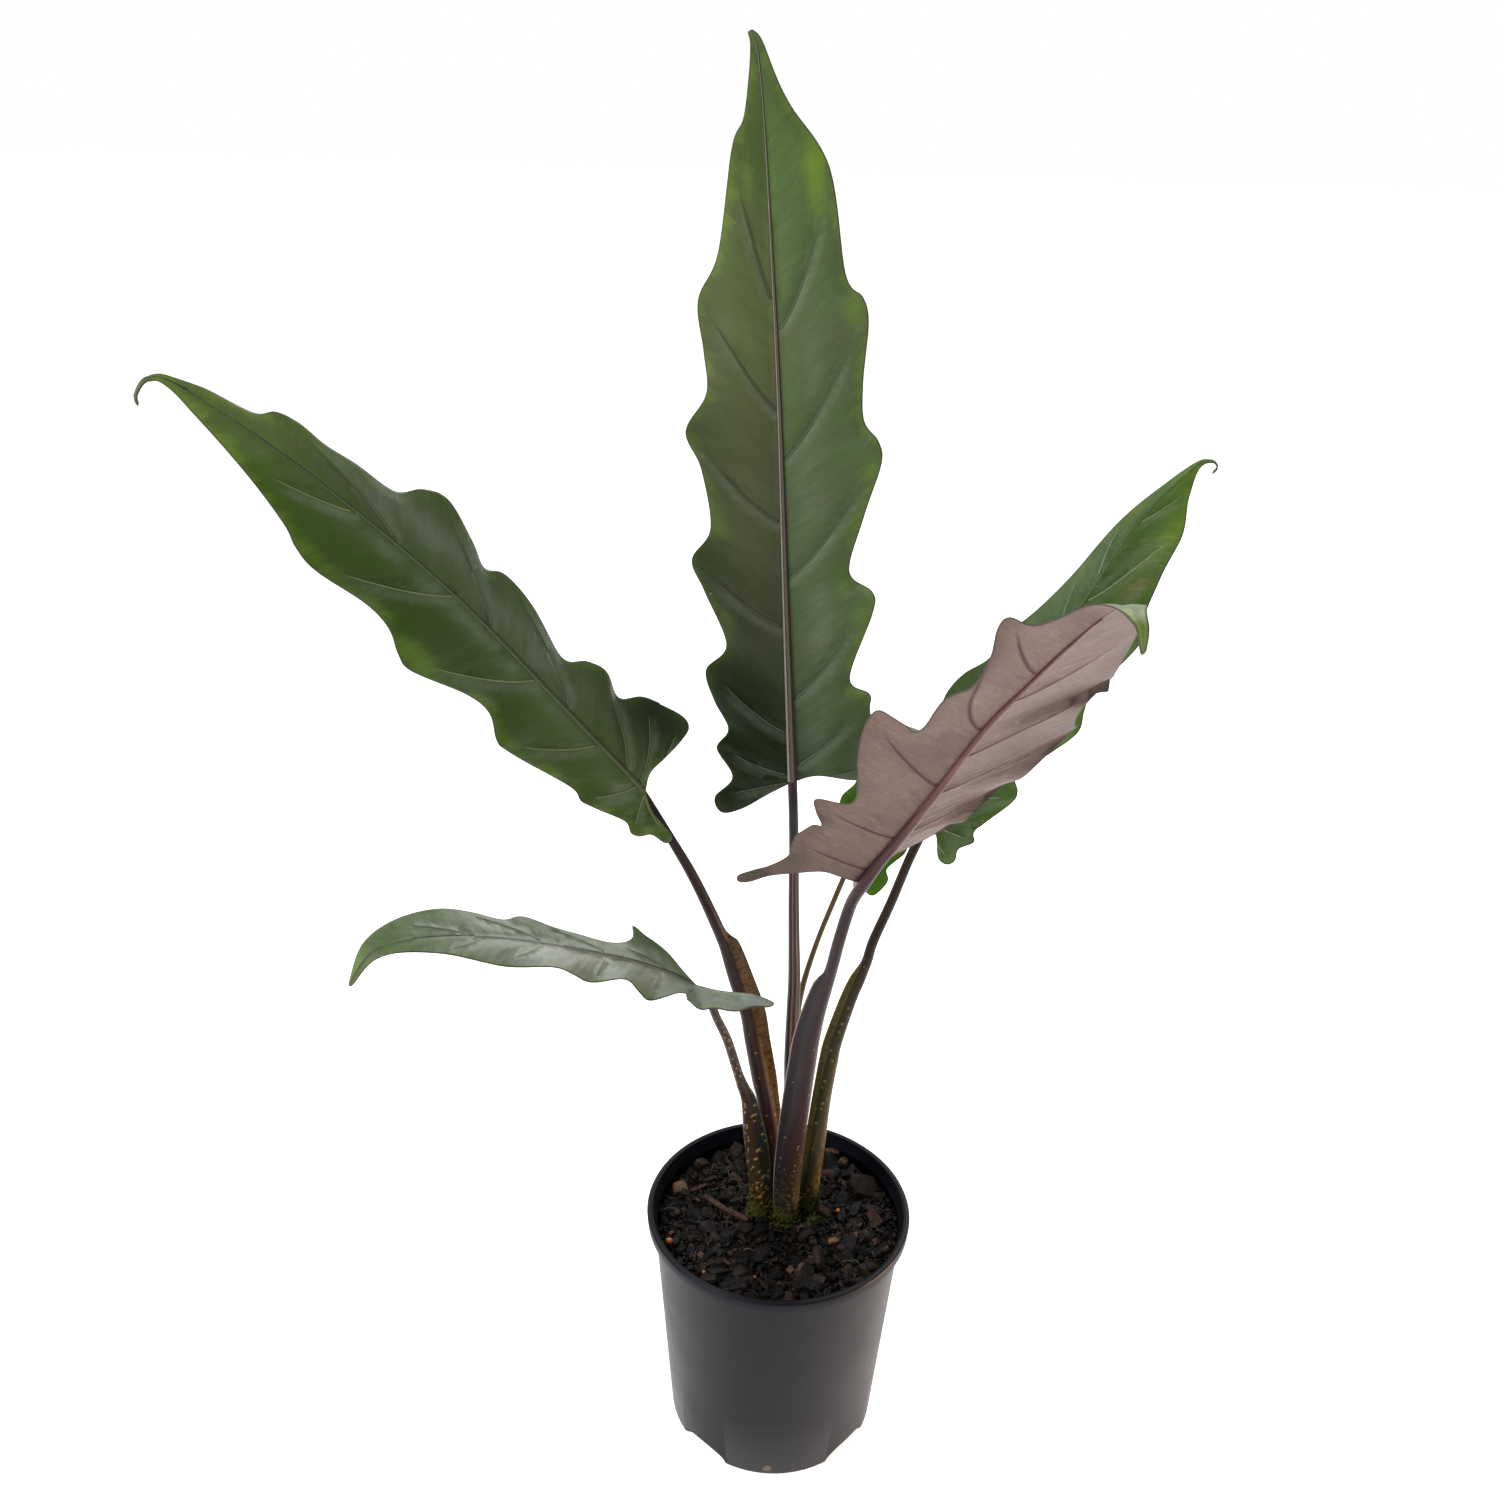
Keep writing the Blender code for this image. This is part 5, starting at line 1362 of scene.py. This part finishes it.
def make_bark():
    random = np.random.default_rng(SEED)
    places = [place for place in product((-1, 0, 1), repeat=3) if any(place)]
    quads = lump_faces(places)
    points, faces, tones = [], [], []

    def lay(x, y, rise, size, heading, tilt, tone, jitter=0.55, rough=0.16):
        shape = lump(random, places, size, jitter, rough)
        turn = Matrix.Rotation(heading, 3, "Z") @ Matrix.Rotation(tilt, 3, "Y")
        turn = turn @ Matrix.Rotation(random.random() * 0.5, 3, "X")
        faces.extend(moved(quads, len(tones)))
        points.append(shape @ np.array(turn).T + (x, y, soil_height(x, y) + rise))
        tones.extend([tone] * len(shape))

    for x, y, rise, length, width, thick, heading, tilt, tone in MARKED_CHIPS:
        lay(x, y, rise, (length, width, thick), math.radians(heading), math.radians(tilt), tone, 0.35, 0.14)
    for number in range(CHIPS + GRAINS):
        small = number >= CHIPS
        radius = (0.0635 if small else 0.0600) * math.sqrt(random.random())
        angle = 2 * math.pi * random.random()
        x, y = radius * math.cos(angle), radius * math.sin(angle)
        length = 0.0011 + 0.0020 * random.random() if small else 0.0032 + 0.0070 * random.random() ** 2.2
        size = (length, length * (0.35 + 0.45 * random.random()), length * (0.18 + 0.30 * random.random()))
        tone = random.random() ** 1.8 * 0.76 if random.random() > 0.055 else 0.78 + 0.14 * random.random()
        tilt = (random.random() - 0.5) * 1.3
        rise = 0.0004 + 0.0018 * random.random()
        away = math.hypot((x - CROWN_CENTRE[0]) / 0.020, (y - CROWN_CENTRE[1]) / 0.015)
        if small or away >= 1:
            lay(x, y, rise, size, 2 * math.pi * random.random(), tilt, tone)
    finish = bark_material()
    bark = new_piece("bark_chips", np.vstack(points), faces, [finish], smooth=False, values=dict(tone=tones))
    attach(bark, "root")


def make_fibres():
    """Thin roots and hairs that lie on the mix, each a bent three-sided thread."""
    random = np.random.default_rng(SEED + 3)
    points, faces, tones = [], [], []
    for _ in range(FIBRES):
        radius = 0.060 * math.sqrt(random.random())
        angle, heading = 2 * math.pi * random.random(2)
        x, y = radius * math.cos(angle), radius * math.sin(angle)
        length = 0.0025 + 0.0075 * random.random() ** 2
        thick = 0.00008 + 0.00012 * random.random()
        bend = (random.random() - 0.5) * 2.4
        lift = 0.0010 + 0.0022 * random.random()
        tone = random.random()
        faces += moved(tube_faces(FIBRE_STEPS + 1, 3), len(tones))
        for share in np.arange(FIBRE_STEPS + 1) / FIBRE_STEPS:
            turn = heading + bend * share
            middle = soil_height(x, y) + lift + 0.0012 * math.sin(math.pi * share)
            for around in (0, 2 * math.pi / 3, 4 * math.pi / 3):
                aside = thick * math.cos(around)
                points.append((x - aside * math.sin(turn), y + aside * math.cos(turn),
                               middle + thick * math.sin(around)))
            tones += [tone] * 3
            x += length / FIBRE_STEPS * math.cos(turn)
            y += length / FIBRE_STEPS * math.sin(turn)
    finish = toned_material("fibre", FIBRE_TONES, 2500.0, 0.35, 0.4)
    fibres = new_piece("soil_fibres", points, faces, [finish], values=dict(tone=tones))
    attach(fibres, "root")


def make_beads():
    """Fertiliser beads: slightly dented and flattened balls."""
    random = np.random.default_rng(SEED + 1)
    bm = bmesh.new()
    bmesh.ops.create_icosphere(bm, subdivisions=3, radius=1)
    ball = np.array([v.co for v in bm.verts])
    triangles = [[v.index for v in f.verts] for f in bm.faces]
    bm.free()
    points, faces = [], []
    for x, y, radius in BEADS:
        faces += moved(triangles, len(points) * len(ball))
        dented = ball * (1 + 0.024 * (random.random((len(ball), 1)) - 0.5))
        shape = dented * radius * (1, 0.94, 0.88)
        points.append(shape + (x, y, soil_height(x, y) + 0.0022 + 0.5 * radius))
    finish = grainy_material("bead", BEAD_TONES, 900.0, 0.32, 0.5, 0.25, 0.0003)
    beads = new_piece("fertiliser_beads", np.vstack(points), faces, [finish])
    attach(beads, "root")


def make_moss():
    """Short leafy tufts round the feet of the stalks."""
    random = np.random.default_rng(SEED + 2)
    points, faces, tones = [], [], []
    feet = []
    for leaf in LEAVES.values():
        x, y, _, half, wing = leaf["stalk"][0]
        feet.append((x + wing / 2, y, half + abs(wing) / 2, half))
    for number in range(TUFTS):
        x0, y0, wide, deep = feet[number % len(feet)]
        angle = 2 * math.pi * random.random()
        lift = 13 * random.random() ** 2.2
        spread = 1.0 + 0.10 * random.random() + (0.22 * random.random() if lift < 2 else 0)
        x = (x0 + wide * math.cos(angle) * spread) * MM
        y = (y0 + deep * math.sin(angle) * spread) * MM
        root = np.array([x, y, max(soil_height(x, y), CROWN_TOP) + lift * MM])
        size = (0.5 + 0.9 * random.random()) * MM
        lean = Vector((math.cos(angle), math.sin(angle), 0.6 + random.random())).normalized()
        aside = lean.cross(Vector((random.random() - 0.5, random.random() - 0.5, 1))).normalized()
        along, across = np.array(lean) * size * 1.7, np.array(aside) * size * 0.42
        over = np.array(lean.cross(aside)) * size * 0.25
        shoulder = root + along * 0.5 + over * 1.6
        quads = ((0, 1, 2, 3), (3, 2, 4), (1, 0, 5), (2, 1, 5), (4, 2, 5), (3, 4, 5), (0, 3, 5))
        faces += moved(quads, len(tones))
        points += [root - along * 0.2 - across, root - along * 0.2 + across, shoulder + across * 0.8,
                   shoulder - across * 0.8, root + along, root + along * 0.3 - over * 1.2]
        tones += [random.random()] * 6
    finish = toned_material("moss", MOSS_TONES, 1800.0, 0.7, 0.2)
    moss = new_piece("moss", points, faces, [finish], values=dict(tone=tones))
    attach(moss, "root")


def dress_rhizome(node):
    node.data.materials.clear()
    node.data.materials.append(grainy_material("crown", CROWN_TONES, 300.0, 0.7, 0.3, 0.7, 0.0015))


# Stage


def area_light(name, place, target, size, watts, colour, spread):
    data = bpy.data.lights.new(name, "AREA")
    data.shape = "RECTANGLE"
    data.size, data.size_y = size
    data.energy = watts
    data.color = colour
    data.spread = math.radians(spread)
    obj = new_object(name, data)
    obj.location = place
    obj.rotation_euler = (Vector(target) - Vector(place)).to_track_quat("-Z", "Y").to_euler()


def studio_world():
    """A white sweep behind and above the plant in a dim room. The picture's background is plain white."""
    world = bpy.data.worlds.new("studio")
    world.use_nodes = True
    nodes = Nodes(world.node_tree)
    sky = nodes.tree.nodes["Background"]
    nodes.put(sky.inputs["Color"], (1.0, 1.0, 1.0))
    behind = nodes.add("SeparateXYZ", {0: nodes.add("TexCoord", {}, "Generated")}, "Y")
    light = nodes.pick(nodes.ramp(behind, -0.35, 0.65), ROOM_LIGHT, SWEEP_LIGHT)
    nodes.put(sky.inputs["Strength"], nodes.pick(nodes.add("LightPath", {}, "Is Camera Ray"), light, 1.0))
    return world


def make_floor():
    mesh = bpy.data.meshes.new("floor")
    corners = [(x * FLOOR_REACH, y * FLOOR_REACH, 0) for x, y in ((-1, -1), (1, -1), (1, 1), (-1, 1))]
    mesh.from_pydata(corners, [], [(0, 1, 2, 3)])
    floor = new_object("floor", mesh)
    floor.location.z = -FLOOR_DROP
    finish = Paint("floor", 0.9, 0.0)
    finish.colour = FLOOR_TONE
    finish.put(finish.shader.inputs["Emission Color"], (1.0, 1.0, 1.0))
    finish.put(finish.shader.inputs["Emission Strength"], FLOOR_GLOW)
    mesh.materials.append(finish.done())


def make_camera():
    camera = bpy.data.cameras.new("camera")
    camera.lens = LENS_MM
    camera.sensor_width = SENSOR_MM
    camera.clip_start = 0.02
    obj = new_object("camera", camera)
    pitch = math.radians(PITCH_DEG)
    roll = math.radians(ROLL_DEG)
    right = Vector((1, 0, 0))
    upward = Vector((0, math.sin(pitch), math.cos(pitch)))
    ahead = Vector((0, math.cos(pitch), -math.sin(pitch)))
    x = right * math.cos(roll) - upward * math.sin(roll)
    y = right * math.sin(roll) + upward * math.cos(roll)
    obj.matrix_world = Matrix.Translation(EYE) @ Matrix((x, y, -ahead)).transposed().to_4x4()
    bpy.context.scene.camera = obj


def make_stage():
    bpy.context.scene.world = studio_world()
    for lamp in LAMPS:
        area_light(*lamp)
    make_floor()
    make_camera()
    bpy.context.scene.view_settings.view_transform = "Standard"


def main():
    for obj in list(bpy.data.objects):
        bpy.data.objects.remove(obj)
    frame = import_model()
    make_stage()
    make_pot()
    make_soil()
    make_bark()
    make_fibres()
    make_beads()
    make_moss()
    dress_rhizome(frame["nodes"]["rhizome"])
    for name in LEAVES:
        blade = Blade(name)
        make_petiole(name, blade)
        make_lamina(name, blade)


main()
